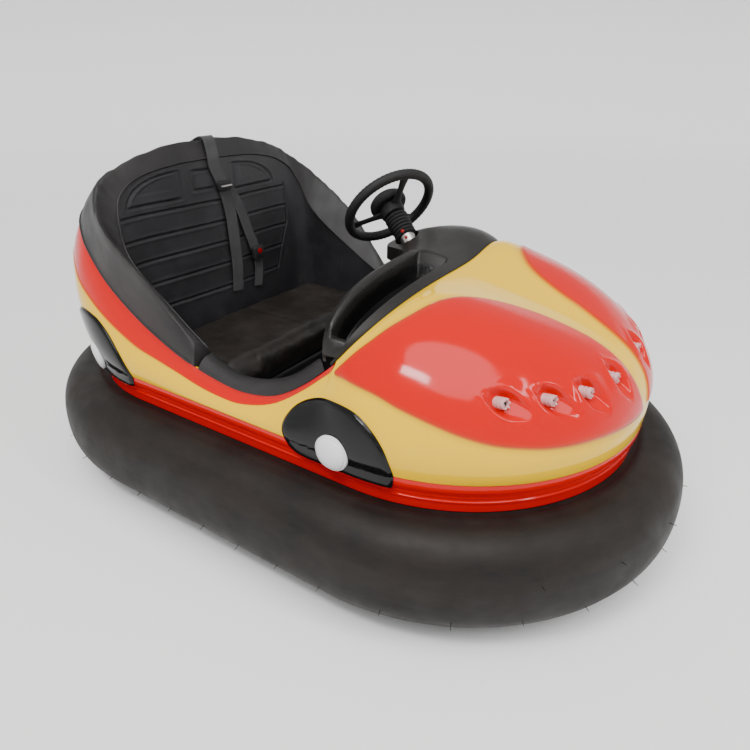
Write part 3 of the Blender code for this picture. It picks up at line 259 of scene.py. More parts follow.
def bump(nt, shader, height, strength, distance, below=None):
    node = nt.nodes.new("ShaderNodeBump")
    node.inputs["Strength"].default_value = strength
    node.inputs["Distance"].default_value = distance
    nt.links.new(height, node.inputs["Height"])
    if below is not None:
        nt.links.new(below, node.inputs["Normal"])
    nt.links.new(node.outputs["Normal"], shader.inputs["Normal"])
    return node.outputs["Normal"]


def attribute(nt, name):
    node = nt.nodes.new("ShaderNodeAttribute")
    node.attribute_name = name
    return node.outputs["Fac"]


def gelcoat_shading(mat, base):
    """Gloss of polished gel-coat: faint orange peel, dust and fine wear over a base colour socket."""
    nt = mat.node_tree
    shader = nt.nodes["Principled BSDF"]
    dust = ramp(nt, noise(nt, 5.0, 6), [(0.45, 0.0), (0.85, 1.0)])
    tinted = blend_colour(nt, ramp(nt, noise(nt, 2.2, 3), [(0.35, 0.0), (0.75, 0.16)]), base,
                          blend_colour(nt, 1.0, base, (0.78, 0.74, 0.70), "MULTIPLY"))
    nt.links.new(tinted, shader.inputs["Base Color"])
    nt.links.new(ramp(nt, dust, [(0.0, 0.09), (1.0, 0.19)]), shader.inputs["Roughness"])
    peel = bump(nt, shader, noise(nt, 160.0, 2), 0.06, 0.0006)
    bump(nt, shader, noise(nt, 9.0, 2), 0.10, 0.004, peel)


YELLOW = (0.88, 0.53, 0.0)
RED = (0.62, 0.0, 0.0)


def make_body_paint():
    mat = new_material("body_gelcoat", YELLOW, 0.12, specular=0.30)[0]
    nt = mat.node_tree
    red_zone = ramp(nt, attribute(nt, "red_zone"), [(0.4975, 0.0), (0.5025, 1.0)])
    edge = ramp(nt, attribute(nt, "red_zone"), [(0.485, 0.0), (0.5, 1.0), (0.515, 0.0)])
    colour = blend_colour(nt, red_zone, YELLOW, RED)
    colour = blend_colour(nt, blend_colour(nt, 0.30, (0, 0, 0), edge), colour, (0.36, 0.10, 0.002))
    gelcoat_shading(mat, colour)
    return mat


def make_plain_gelcoat(name, colour):
    mat = new_material(name, colour, 0.12, specular=0.30)[0]
    nt = mat.node_tree
    steady = blend_colour(nt, noise(nt, 3.0, 3), tuple(c * 0.92 for c in colour),
                          tuple(min(1, c * 1.05) for c in colour))
    gelcoat_shading(mat, steady)
    return mat


def make_rubber(name, dark, dusty, dust_amount, grain=260.0):
    mat, shader = new_material(name, dark, 0.6, specular=0.28)
    nt = mat.node_tree
    cloud = ramp(nt, noise(nt, 6.0, 8, 0.62, (1.0, 1.0, 2.2)), [(0.36, 0.0), (0.74, dust_amount)])
    streak = ramp(nt, noise(nt, 22.0, 6, 0.6, (1.0, 1.0, 7.0)), [(0.45, 0.0), (0.85, 0.45 * dust_amount)])
    colour = blend_colour(nt, cloud, dark, dusty)
    colour = blend_colour(nt, streak, colour, tuple(c * 1.25 for c in dusty))
    nt.links.new(colour, shader.inputs["Base Color"])
    nt.links.new(ramp(nt, noise(nt, 12.0, 6), [(0.3, 0.50), (0.8, 0.74)]), shader.inputs["Roughness"])
    fine = bump(nt, shader, noise(nt, grain, 3), 0.22, 0.0006)
    bump(nt, shader, noise(nt, 30.0, 5), 0.10, 0.003, fine)
    return mat


def make_vinyl(name, colour, worn, rough=0.48, scale=330.0):
    """Grained vinyl: a cell pattern for the grain, soft wear and dust on top."""
    mat, shader = new_material(name, colour, rough, specular=0.35)
    nt = mat.node_tree
    coords = nt.nodes.new("ShaderNodeTexCoord")
    cells = nt.nodes.new("ShaderNodeTexVoronoi")
    cells.feature = "DISTANCE_TO_EDGE"
    cells.inputs["Scale"].default_value = scale
    nt.links.new(coords.outputs["Object"], cells.inputs["Vector"])
    grain = ramp(nt, cells.outputs["Distance"], [(0.0, 0.0), (0.22, 1.0)])
    patch = ramp(nt, noise(nt, 7.0, 7, 0.6), [(0.40, 0.0), (0.78, 0.8)])
    shade = blend_colour(nt, patch, colour, worn)
    shade = blend_colour(nt, ramp(nt, grain, [(0.0, 0.25), (1.0, 0.0)]), shade,
                         tuple(c * 0.4 for c in colour))
    nt.links.new(shade, shader.inputs["Base Color"])
    nt.links.new(ramp(nt, noise(nt, 14.0, 5), [(0.3, rough - 0.09), (0.8, rough + 0.12)]),
                 shader.inputs["Roughness"])
    fine = bump(nt, shader, grain, 0.35, 0.0005)
    bump(nt, shader, noise(nt, 18.0, 4), 0.18, 0.004, fine)
    return mat


def make_steel(name, colour, rough, metal, brushed=False):
    mat, shader = new_material(name, colour, rough, metal)
    nt = mat.node_tree
    grime = ramp(nt, noise(nt, 9.0, 7), [(0.42, 0.0), (0.8, 0.7)])
    nt.links.new(blend_colour(nt, grime, colour, tuple(c * 0.45 + 0.012 for c in colour)),
                 shader.inputs["Base Color"])
    stretch = (6.0, 6.0, 120.0) if brushed else None
    nt.links.new(ramp(nt, noise(nt, 12.0, 5, 0.6, stretch), [(0.3, rough - 0.08), (0.8, rough + 0.15)]),
                 shader.inputs["Roughness"])
    bump(nt, shader, noise(nt, 90.0 if brushed else 240.0, 3, 0.6, stretch), 0.12, 0.0005)
    return mat


def make_webbing():
    mat, shader = new_material("belt_webbing", (0.012, 0.012, 0.014), 0.75, sheen=0.25)
    nt = mat.node_tree
    coords = nt.nodes.new("ShaderNodeTexCoord")
    ribs = nt.nodes.new("ShaderNodeTexWave")
    ribs.bands_direction = "Y"
    ribs.inputs["Scale"].default_value = 95.0
    ribs.inputs["Distortion"].default_value = 0.4
    nt.links.new(coords.outputs["Object"], ribs.inputs["Vector"])
    weave = nt.nodes.new("ShaderNodeTexWave")
    weave.bands_direction = "Z"
    weave.inputs["Scale"].default_value = 240.0
    weave.inputs["Distortion"].default_value = 0.6
    nt.links.new(coords.outputs["Object"], weave.inputs["Vector"])
    shade = blend_colour(nt, ramp(nt, noise(nt, 20.0, 5), [(0.35, 0.0), (0.8, 0.8)]), (0.012, 0.012, 0.014),
                         (0.045, 0.042, 0.042))
    nt.links.new(shade, shader.inputs["Base Color"])
    first = bump(nt, shader, ribs.outputs["Fac"], 0.5, 0.0006)
    bump(nt, shader, weave.outputs["Fac"], 0.35, 0.0003, first)
    return mat


def make_cowl_vinyl():
    """Grained vinyl that turns to smooth gloss inside the pocket, where its colour is also darkened with painted
    shade.
    """
    mat = make_vinyl("cowl_vinyl", (0.010, 0.0088, 0.0080), (0.022, 0.019, 0.017), 0.40, 420.0)
    nt = mat.node_tree
    shader = nt.nodes["Principled BSDF"]
    inside = ramp(nt, attribute(nt, "pocket"), [(0.25, 0.0), (0.6, 1.0)])
    # inside the pocket: real smooth gloss, plus a near-black colour that is painted shade of the hollow
    for socket, value in (("Base Color", (0.0025, 0.0022, 0.0022)), ("Roughness", (0.14, 0.14, 0.14))):
        was = shader.inputs[socket].links[0].from_socket
        nt.links.new(blend_colour(nt, inside, was, value), shader.inputs[socket])
    return mat


MAT = {
    "body": make_body_paint(),
    "red": make_plain_gelcoat("red_gelcoat_fine", RED),
    "disc": make_plain_gelcoat("black_gelcoat_fine", (0.0035, 0.0035, 0.004)),
    "cap": make_plain_gelcoat("white_cap_fine", (0.78, 0.77, 0.78)),
    "ring": make_rubber("ring_rubber", (0.0060, 0.0048, 0.0042), (0.019, 0.0135, 0.0100), 0.8),
    "tyre": make_rubber("tyre_rubber", (0.010, 0.009, 0.009), (0.045, 0.040, 0.036), 0.9),
    "roll": make_vinyl("roll_vinyl", (0.015, 0.0135, 0.0135), (0.034, 0.031, 0.031), 0.46),
    "liner": make_vinyl("liner_vinyl", (0.017, 0.016, 0.018), (0.040, 0.038, 0.042), 0.44, 380.0),
    "cushion": make_vinyl("cushion_vinyl", (0.012, 0.0095, 0.0080), (0.028, 0.022, 0.018), 0.42),
    "cowl": make_cowl_vinyl(),
    "black": make_rubber("moulded_black_fine", (0.008, 0.008, 0.0085), (0.024, 0.023, 0.023), 0.6, 420.0),
    "steel": make_steel("painted_steel_fine", (0.050, 0.050, 0.054), 0.45, 0.2),
    "bright": make_steel("bright_steel_fine", (0.60, 0.58, 0.56), 0.28, 1.0, True),
    "battery": make_rubber("battery_case", (0.075, 0.076, 0.082), (0.150, 0.146, 0.140), 0.6, 300.0),
    "webbing": make_webbing(),
    "socket": make_plain_gelcoat("lamp_socket_pink", (0.66, 0.38, 0.38)),
    "button": make_plain_gelcoat("red_button", (0.30, 0.004, 0.004)),
    # near-black rubber used only for the painted shade inside the lamp sockets' holes
    "dark": make_rubber("painted_hole_shade", (0.006, 0.005, 0.005), (0.016, 0.014, 0.014), 0.5),
}


# ---------------------------------------------------------------- mesh helpers
def finish_mesh(name, bm, mat, body="chassis", smooth=45.0):
    bmesh.ops.recalc_face_normals(bm, faces=bm.faces)
    mesh = bpy.data.meshes.new(name)
    bm.to_mesh(mesh)
    bm.free()
    mesh.shade_smooth()
    mesh.set_sharp_from_angle(angle=math.radians(smooth))
    obj = bpy.data.objects.new(name, mesh)
    bpy.context.scene.collection.objects.link(obj)
    mesh.materials.append(MAT[mat])
    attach(obj, body)
    return obj


def bridge(bm, here, there):
    """Join two closed rows of vertices with quads."""
    count = len(here)
    for j in range(count):
        k = (j + 1) % count
        bm.faces.new((here[j], here[k], there[k], there[j]))


def skin(name, sections, mat, closed=False, body="chassis", smooth=45.0):
    """Skin closed sections with the same point count, capping the ends unless closed joins last to first."""
    bm = bmesh.new()
    rows = [[bm.verts.new(tuple(p)) for p in section] for section in sections]
    for i in range(len(rows) if closed else len(rows) - 1):
        bridge(bm, rows[i], rows[(i + 1) % len(rows)])
    if not closed:
        bm.faces.new(rows[0])
        bm.faces.new(rows[-1])
    return finish_mesh(name, bm, mat, body, smooth)


def axes_for(axis):
    helper = np.array([0.0, 0.0, 1.0]) if abs(axis[2]) < 0.9 else np.array([1.0, 0.0, 0.0])
    side = np.cross(axis, helper)
    side /= np.linalg.norm(side)
    return side, np.cross(axis, side)


def turned(name, profile, centre, axis, mat, count=48, body="chassis", smooth=35.0):
    """Revolve a closed profile of (radius, distance) round an axis."""
    axis = np.asarray(axis, float) / np.linalg.norm(axis)
    side, up = axes_for(axis)
    sections = []
    for i in range(count):
        a = 2 * math.pi * i / count
        out = math.cos(a) * side + math.sin(a) * up
        sections.append([np.asarray(centre) + r * out + d * axis for r, d in profile])
    return skin(name, sections, mat, closed=True, body=body, smooth=smooth)


def tube(name, points, radius, mat, body="chassis", count=10, closed=False):
    """Round bead along points, tapering at open ends."""
    points = np.asarray(points, float)
    sections = []
    for i, p in enumerate(points):
        if closed:
            ahead = points[(i + 1) % len(points)] - points[i - 1]
        else:
            ahead = points[min(i + 1, len(points) - 1)] - points[max(i - 1, 0)]
        ahead /= np.linalg.norm(ahead)
        side, up = axes_for(ahead)
        r = radius if closed or 0 < i < len(points) - 1 else radius * 0.35
        sections.append([p + r * (math.cos(a) * side + math.sin(a) * up)
                         for a in np.linspace(0, 2 * math.pi, count, endpoint=False)])
    return skin(name, sections, mat, closed=closed, body=body, smooth=60)


def loop_parameters(count_end, count_side):
    front, back = s_at_x(END_X), s_at_x(-END_X)
    right = list(np.linspace(0, front, count_end, endpoint=False))
    right += list(np.linspace(front, back, count_side, endpoint=False))
    right += list(np.linspace(back, 1, count_end, endpoint=False))
    return right + [1.0] + [-s for s in reversed(right[1:])]


# ---------------------------------------------------------------- camera, light and floor
def build_stage():
    azimuth, elevation, roll = (math.radians(a) for a in (33.2852, 26.7959, 0.4883))
    back = np.array([math.sin(azimuth) * math.cos(elevation), -math.cos(azimuth) * math.cos(elevation),
                     math.sin(elevation)])
    right = np.array([math.cos(azimuth), math.sin(azimuth), 0.0])
    up = np.cross(back, right)
    c, s = math.cos(roll), math.sin(roll)
    right, up = c * right + s * up, -s * right + c * up
    data = bpy.data.cameras.new("camera")
    data.sensor_width = 36.0
    data.lens = 620.42 / 750 * 36.0
    data.clip_end = 60
    camera = bpy.data.objects.new("camera", data)
    basis = Matrix((tuple(right), tuple(up), tuple(back))).transposed().to_4x4()
    camera.matrix_world = Matrix.Translation((1.01369, -1.38315, 1.13485)) @ basis
    bpy.context.scene.collection.objects.link(camera)
    bpy.context.scene.camera = camera

    bm = bmesh.new()
    rings = []
    for radius, height in [(0.0, 0.0), (4.0, 0.0), (9.0, 0.0)] + [
            (9.0 + 3.0 * math.sin(a), 3.0 - 3.0 * math.cos(a))
            for a in np.linspace(0.15, math.pi / 2, 10)] + [(12.0, 5.0)]:
        rings.append([bm.verts.new((radius * math.cos(b), radius * math.sin(b), height))
                      for b in np.linspace(0, 2 * math.pi, 96, endpoint=False)]
                      if radius else [bm.verts.new((0, 0, 0))])
    for inner, outer in zip(rings, rings[1:]):
        for j in range(96):
            k = (j + 1) % 96
            corners = (inner[0], outer[j], outer[k]) if len(inner) == 1 else (inner[j], outer[j], outer[k],
                                                                              inner[k])
            bm.faces.new(corners)
    for face in bm.faces:
        face.smooth = True
    mesh = bpy.data.meshes.new("floor")
    bm.to_mesh(mesh)
    bm.free()
    floor = bpy.data.objects.new("floor", mesh)
    mat = new_material("floor_paper", (0.93, 0.93, 0.93), 0.9, specular=0.1)[0]
    mesh.materials.append(mat)
    bpy.context.scene.collection.objects.link(floor)

    world = bpy.data.worlds.new("studio")
    bpy.context.scene.world = world
    world.use_nodes = True
    background = world.node_tree.nodes["Background"]
    background.inputs["Color"].default_value = (1.0, 1.0, 1.0, 1)
    background.inputs["Strength"].default_value = 0.62

    sun = bpy.data.lights.new("overhead", "SUN")
    sun.energy = 2.3
    sun.angle = math.radians(50)
    overhead = bpy.data.objects.new("overhead", sun)
    overhead.rotation_euler = (math.radians(18), math.radians(10), 0)
    bpy.context.scene.collection.objects.link(overhead)
    for name, place, target, size, power in (
            ("window", (0.3, -1.9, 2.6), (0.35, -0.2, 0.4), (0.9, 0.35), 34),
            ("strip", (2.6, -0.3, 2.2), (0.4, 0.0, 0.4), (0.35, 1.4), 22)):
        light = bpy.data.lights.new(name, "AREA")
        light.shape = "RECTANGLE"
        light.size, light.size_y = size
        light.energy = power
        obj = bpy.data.objects.new(name, light)
        obj.location = place
        obj.rotation_euler = (Vector(target) - Vector(place)).to_track_quat("-Z", "Y").to_euler()
        bpy.context.scene.collection.objects.link(obj)


# ---------------------------------------------------------------- body with its colour zones
# yellow/red-stripe boundary on the sides: s and v
STRIPE = [
    (0.355, 0.955), (0.370, 0.925), (0.406, 0.891), (0.429, 0.834), (0.452, 0.730), (0.469, 0.651),
    (0.488, 0.575),
    (0.517, 0.536), (0.547, 0.541), (0.580, 0.580), (0.611, 0.581), (0.645, 0.570), (0.685, 0.620),
    (0.734, 0.680),
    (0.757, 0.700), (0.798, 0.716), (0.837, 0.746), (0.900, 0.775), (1.0, 0.785),
]
# outline of the right-hand lobe: s and v
LOBE = [
    (0.342, 0.894), (0.301, 0.796), (0.263, 0.657), (0.243, 0.523), (0.226, 0.418), (0.210, 0.336),
    (0.191, 0.271),
    (0.170, 0.226), (0.146, 0.182), (0.117, 0.148), (0.079, 0.124), (0.042, 0.113), (0.012, 0.108),
    (0.010, 0.130), (0.013, 0.200), (0.014, 0.280), (0.014, 0.360), (0.014, 0.440), (0.0155, 0.520),
    (0.0205, 0.600),
    (0.0275, 0.680), (0.040, 0.745), (0.057, 0.785), (0.080, 0.808), (0.130, 0.840), (0.174, 0.868),
    (0.222, 0.895),
    (0.272, 0.917),
]
LOBE_RAISE = 0.0045


def outline_distance(points, outline):
    """Signed distance of 2-D points to a closed outline, positive inside."""
    a = outline
    b = np.roll(outline, -1, axis=0)
    d = b - a
    best = np.full(len(points), 1e9)
    inside = np.zeros(len(points), bool)
    for (ax, ay), (dx, dy) in zip(a, d):
        px, py = points[:, 0] - ax, points[:, 1] - ay
        t = np.clip((px * dx + py * dy) / max(dx * dx + dy * dy, 1e-12), 0, 1)
        best = np.minimum(best, np.hypot(px - t * dx, py - t * dy))
        crosses = (ay > points[:, 1]) != (ay + dy > points[:, 1])
        if abs(dy) > 1e-12:
            inside ^= crosses & (points[:, 0] < ax + (points[:, 1] - ay) * dx / dy)
    return np.where(inside, best, -best)


def lamp_frames():
    """Each lamp's place on the body's face and its outward normal there."""
    found = []
    dense_s, dense_v = np.linspace(0.0, 0.22, 90), np.linspace(0.1, 0.7, 90)
    sheet = np.array([body_row(s, dense_v) for s in dense_s])
    for place in LAMPS:
        target = np.array(place) * [1, -1, 1]
        i, j = np.unravel_index(np.argmin(np.linalg.norm(sheet - target, axis=2)), sheet.shape[:2])
        i, j = min(max(i, 1), 88), min(max(j, 1), 88)
        normal = np.cross(sheet[i, j + 1] - sheet[i, j - 1], sheet[i + 1, j] - sheet[i - 1, j])
        normal /= np.linalg.norm(normal)
        if normal[0] < 0:
            normal = -normal
        found.append((sheet[i, j], normal))
    return found


def scoop_axes(centre, normal, mirror):
    """A scoop's centre, outward normal, forward direction and sideways direction on one side of the bonnet."""
    c = centre * [1, mirror, 1]
    n = normal * [1, mirror, 1]
    forward = np.array([1.0, 0.0, 0.0]) - n[0] * n
    forward /= np.linalg.norm(forward)
    return c, n, forward, np.cross(n, forward)


SCOOP_BACK, SCOOP_FRONT, SCOOP_HALF, SCOOP_DEPTH = 0.058, 0.062, 0.030, 0.019


def scoop_shape(points, normals, frames):
    """Push points into almond-shaped scoops that open forward, each with a lightly raised brow behind it."""
    push = np.zeros(len(points))
    for centre, normal in frames:
        for mirror in (1, -1):
            c, n, forward, across = scoop_axes(centre, normal, mirror)
            rel = points - c
            f, a, h = rel @ forward, np.abs(rel @ across), rel @ n
            near = (f > -0.09) & (f < 0.09) & (a < 0.07) & (np.abs(h) < 0.06)
            share = np.clip((f + SCOOP_BACK) / (SCOOP_BACK + SCOOP_FRONT), 0.0, 1.0)
            half = SCOOP_HALF * np.sin(math.pi * share ** 0.85) ** 0.8 + 1e-4
            wall = smoothstep(1.0, 0.50, a / half)
            bowl = wall * smoothstep(-SCOOP_BACK, -0.020, f) * smoothstep(SCOOP_FRONT, -0.006, f)
            brow = smoothstep(2.0, 1.1, a / np.maximum(half, 0.008)) * smoothstep(-0.080, -0.030, f) \
                * smoothstep(0.024, -0.014, f) * (1 - wall)
            push += np.where(near, -SCOOP_DEPTH * bowl + 0.0035 * brow, 0)
    return points + push[:, None] * normals


def build_body():
    ends = list(np.linspace(0, 0.020, 10, endpoint=False)) + list(np.linspace(0.020, 0.190, 118,
                                                                              endpoint=False))
    rest = list(np.linspace(0.190, 0.38, 48, endpoint=False)) + list(np.linspace(0.38, 1.0, 84))
    right = ends + rest
    params = right + [-s for s in reversed(right[1:-1])]
    heights = np.linspace(0, 1, 121)
    grid = np.array([body_row(s, heights) for s in params])
    count_s, count_v = grid.shape[:2]
    along = np.roll(grid, -1, axis=0) - np.roll(grid, 1, axis=0)
    rise = np.gradient(grid, axis=1)
    normals = np.cross(rise, along)
    normals /= np.linalg.norm(normals, axis=2)[:, :, None]
    side_out = np.array([stadium(1.0, s)[1] for s in params])
    outward = side_out[:, None, :] * (1 - heights)[None, :, None] + np.array([0, 0, 1.2]) * heights[None, :,
                                                                                                    None]
    flip = np.einsum("ijk,ijk->ij", normals, outward) < 0
    normals[flip] *= -1

    mean_height = 0.42
    flat = np.array([[abs(s) * HALF_LENGTH, v * mean_height] for s in params for v in heights])
    lobe_line = spline([(s * HALF_LENGTH, v * mean_height) for s, v in LOBE], 260, closed=True)
    lobe = outline_distance(flat, lobe_line)
    stripe = []
    for s in params:
        top = hermite(STRIPE, abs(s))[0] if abs(s) > STRIPE[0][0] else 2.0
        stripe.append([(v - top) * mean_height for v in heights])
    zone = np.maximum(lobe, np.array(stripe).ravel())

    points = grid.reshape(-1, 3)
    flat_normals = normals.reshape(-1, 3)
    raised = points + (LOBE_RAISE * smoothstep(-0.002, 0.006, lobe))[:, None] * flat_normals
    stripe_sink = 0.0025 * smoothstep(-0.001, 0.006, np.array(stripe).ravel())
    raised = raised - stripe_sink[:, None] * flat_normals
    inside_lobe = smoothstep(0.004, 0.020, lobe)[:, None]
    scooped = scoop_shape(raised, flat_normals, lamp_frames())
    outer = raised + (scooped - raised) * inside_lobe
    sunk = np.minimum(np.einsum("ij,ij->i", outer - points, flat_normals), 0.0)
    inner = points + (sunk - BODY_WALL)[:, None] * flat_normals
    outer = outer.reshape(count_s, count_v, 3)
    inner = inner.reshape(count_s, count_v, 3)
    inner[:, 0, 2] = BODY_EDGE_Z
    outer[:, 0, 2] = BODY_EDGE_Z

    bm = bmesh.new()
    layer = bm.verts.layers.float.new("red_zone")
    zone = zone.reshape(count_s, count_v)
    rows = []
    for i in range(count_s):
        column = [bm.verts.new(p) for p in outer[i]]
        for j, vert in enumerate(column):
            vert[layer] = 0.5 + zone[i, j]
        lining = [bm.verts.new(p) for p in inner[i][::-4]]
        for vert in lining:
            vert[layer] = 0.0
        rows.append(column + lining)
    for i in range(count_s):
        bridge(bm, rows[i], rows[(i + 1) % count_s])
    body = finish_mesh("body_shell", bm, "body", smooth=50)
    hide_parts("main_body")
    return outer


# ---------------------------------------------------------------- lamps
def build_lamps():
    for i, (centre, normal) in enumerate(lamp_frames(), 1):
        for hand, mirror in (("right", 1), ("left", -1)):
            c, n, forward, across = scoop_axes(centre, normal, mirror)
            base = c - 0.018 * n - 0.020 * forward
            forward = 0.62 * forward + 0.80 * n
            forward /= np.linalg.norm(forward)
            profile = [(0.0, -0.010), (0.0125, -0.010), (0.0125, 0.006), (0.0110, 0.0068), (0.0110, 0.0092),
                       (0.0128, 0.0100), (0.0128, 0.0132), (0.0108, 0.0140), (0.0108, 0.0166),
                       (0.0124, 0.0174),
                       (0.0124, 0.0216), (0.0112, 0.0232), (0.0078, 0.0236), (0.0070, 0.0180), (0.0, 0.0176)]
            profile = [(max(r, 0.0004), d) for r, d in profile]
            lamp = turned(f"lamp_socket_{hand}_{i}", profile, base, forward, "socket", 36)
            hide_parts(f"lamp_{hand}_{i}")
            side, up = axes_for(forward)
            for k in range(6):
                a = math.pi * k / 3
                out = math.cos(a) * side + math.sin(a) * up
                tang = np.cross(forward, out)
                root = base + 0.0085 * out + 0.0225 * forward
                tip = base + 0.0100 * out + 0.0262 * forward
                sections = [[p + w * (sx * tang) + 0.0016 * sy * out for sx,
                             sy in ((-1, -1), (1, -1), (1, 1), (-1, 1))]
                            for p, w in ((root, 0.0028), (tip, 0.0020))]
                skin(f"lamp_lug_{hand}_{i}_{k}", sections, "socket", smooth=30)
            # near-black disc on the floor of the socket's recess: painted shade standing in for the depth of the
            # empty hole
            hole = [(0.0004, 0.0), (0.0069, 0.0), (0.0069, 0.0006), (0.0004, 0.0006)]
            turned(f"lamp_hole_shade_{hand}_{i}", hole, base + 0.0182 * forward, forward, "dark",
                   20)


# ---------------------------------------------------------------- ring, skirt and mock wheels
def swept(name, profile, mat, count_end=44, count_side=10, smooth=35.0):
    sections = []
    for s in loop_parameters(count_end, count_side):
        centre, out = stadium(0.0, s)
        sections.append([centre + reach * out + np.array([0, 0, z]) for reach, z in profile])
    return skin(name, sections, mat, closed=True, smooth=smooth)


def ring_profile():
    """Section of the ring: superellipse with moulded ridges low outside and a bead band on its crown."""
    points = []
    steps = 96
    middle = RING_OUT - RING_SECTION
    for i in range(steps):
        a = 2 * math.pi * i / steps
        c, s = math.cos(a), math.sin(a)
        x = math.copysign(abs(c) ** (2 / RING_ROUNDNESS), c)
        z = math.copysign(abs(s) ** (2 / RING_ROUNDNESS), s)
        out = 0.0
        degrees = math.degrees(a)
        for centre, width, height in ((-33, 2.0, -0.0012), (-38.5, 2.0, -0.0012), (-44, 2.2, -0.0012),
                                      (14, 2.4, -0.0006),
                                      (101, 5.0, -0.0045), (93, 2.2, 0.0016), (88, 2.5, -0.0014)):
            gap = (degrees if degrees < 270 else degrees - 360) - centre
            out += height * math.exp(-(gap / width) ** 2)
        points.append((middle + (RING_SECTION + out) * x, RING_BOTTOM + RING_HEIGHT / 2
                       + (RING_HEIGHT / 2 + out) * z))
    return points


def build_ring():
    ring = swept("inflatable_ring", ring_profile(), "ring", 56, 20, 60)
    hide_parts("bumper_ring")
    bm = bmesh.new()
    places = [(s, z) for s in np.linspace(0.02, 0.98, 19) for z in (-0.062,)] + [(s, 0.035)
                                                                                 for s in (0.03, 0.10, 0.17)]
    for s, dz in places:
        for sign in (1, -1):
            centre, out = stadium(0.0, sign * s)
            z = dz / (RING_HEIGHT / 2)
            x = (1 - abs(z) ** RING_ROUNDNESS) ** (1 / RING_ROUNDNESS)
            root = centre + (RING_OUT - RING_SECTION + RING_SECTION * x - 0.002) * out
            root[2] = RING_BOTTOM + RING_HEIGHT / 2 + dz
            length = 0.011 + 0.007 * random.random()
            droop = np.array([0, 0, -0.35 if dz < 0 else 0.1])
            tip = root + length * (out + droop)
            side, up = axes_for(out)
            first = [bm.verts.new(root + 0.0011 * (math.cos(a) * side + math.sin(a) * up))
                     for a in np.linspace(0, 2 * math.pi, 6, endpoint=False)]
            last = [bm.verts.new(tip + 0.0006 * (math.cos(a) * side + math.sin(a) * up))
                    for a in np.linspace(0, 2 * math.pi, 6, endpoint=False)]
            bridge(bm, first, last)
            bm.faces.new(first)
            bm.faces.new(last)
    finish_mesh("ring_vent_nibs", bm, "ring")


def build_skirt():
    out = BODY_HALF
    top = BODY_EDGE_Z - 0.0003
    lip = top - 0.022
    inset = out - 0.013
    profile = [(out - 0.004, top), (out - 0.0008, top - 0.0012), (out, top - 0.005), (out, lip + 0.004),
               (out - 0.002, lip),
               (inset + 0.003, lip - 0.004), (inset, lip - 0.007)]
    for z in (lip - 0.017, lip - 0.030):
        profile += [(inset, z + 0.0035), (inset + 0.0028, z + 0.0015), (inset + 0.0028, z - 0.0015),
                    (inset, z - 0.0035)]
    profile += [(inset, SKIRT_FOOT), (inset - 0.0045, SKIRT_FOOT), (inset - 0.0045, top)]
    skirt = swept("red_skirt", profile, "red", 44, 12)
    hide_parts("lower_skirt")


def side_tree(outer):
    count_s, count_v = outer.shape[:2]
    points = outer.reshape(-1, 3)
    faces = [(i * count_v + j, (i + 1) % count_s * count_v + j, (i + 1) % count_s * count_v + j + 1,
              i * count_v + j + 1)
             for i in range(count_s) for j in range(count_v - 1)]
    return BVHTree.FromPolygons([tuple(p) for p in points], faces)


DISCS = {
    "front": ((0.324, 0.400), [
        (0.174, 0.387), (0.176, 0.411), (0.193, 0.438), (0.227, 0.462), (0.275, 0.481), (0.332, 0.490),
        (0.380, 0.485),
        (0.418, 0.463), (0.446, 0.431), (0.461, 0.395), (0.468, 0.366), (0.466, 0.338), (0.452, 0.335),
        (0.408, 0.335),
        (0.350, 0.335), (0.289, 0.335), (0.240, 0.335), (0.206, 0.342), (0.184, 0.361)]),
    "rear": ((-0.525, 0.405), [
        (-0.606, 0.499), (-0.575, 0.506), (-0.543, 0.506), (-0.506, 0.499), (-0.480, 0.487), (-0.449, 0.468),
        (-0.418, 0.443), (-0.389, 0.415), (-0.367, 0.385), (-0.358, 0.358), (-0.362, 0.338), (-0.380, 0.335),
        (-0.440, 0.335), (-0.520, 0.335), (-0.600, 0.335), (-0.655, 0.340), (-0.672, 0.365), (-0.668, 0.410),
        (-0.648, 0.455), (-0.628, 0.482)]),
}
HUB_CAPS = {"front": (0.323, 0.381, 0.014), "rear": (-0.535, 0.378, 0.007)}


def s_at(x):
    """Parameter of the side at x, measured round the end once past the straight part."""
    if x >= -END_X:
        return s_at_x(x)
    return (QUARTER + 2 * END_X + BODY_HALF * math.asin(min(1.0, (-x - END_X) / BODY_HALF))) / HALF_LENGTH


def on_side_face(tree, x, z, side):
    """Point and outward normal on the body's side at x and z; below the body's edge, on the skirt's face."""
    flat, out = stadium(BODY_HALF, side * s_at(x))
    start = flat + 0.25 * out + np.array([0, 0, max(z, BODY_EDGE_Z + 0.004)])
    hit = tree.ray_cast(Vector(start), Vector(-out), 0.6)
    point = np.array(hit[0]) if hit[0] else flat
    normal = np.array(hit[1]) if hit[0] else out
    if normal @ out < 0:
        normal = -normal
    share = smoothstep(BODY_EDGE_Z + 0.030, BODY_EDGE_Z - 0.004, np.array(z))
    normal = (1 - share) * normal + share * out
    if z < BODY_EDGE_Z + 0.004:
        point = np.array([flat[0], flat[1], z])
    return point, normal / np.linalg.norm(normal)


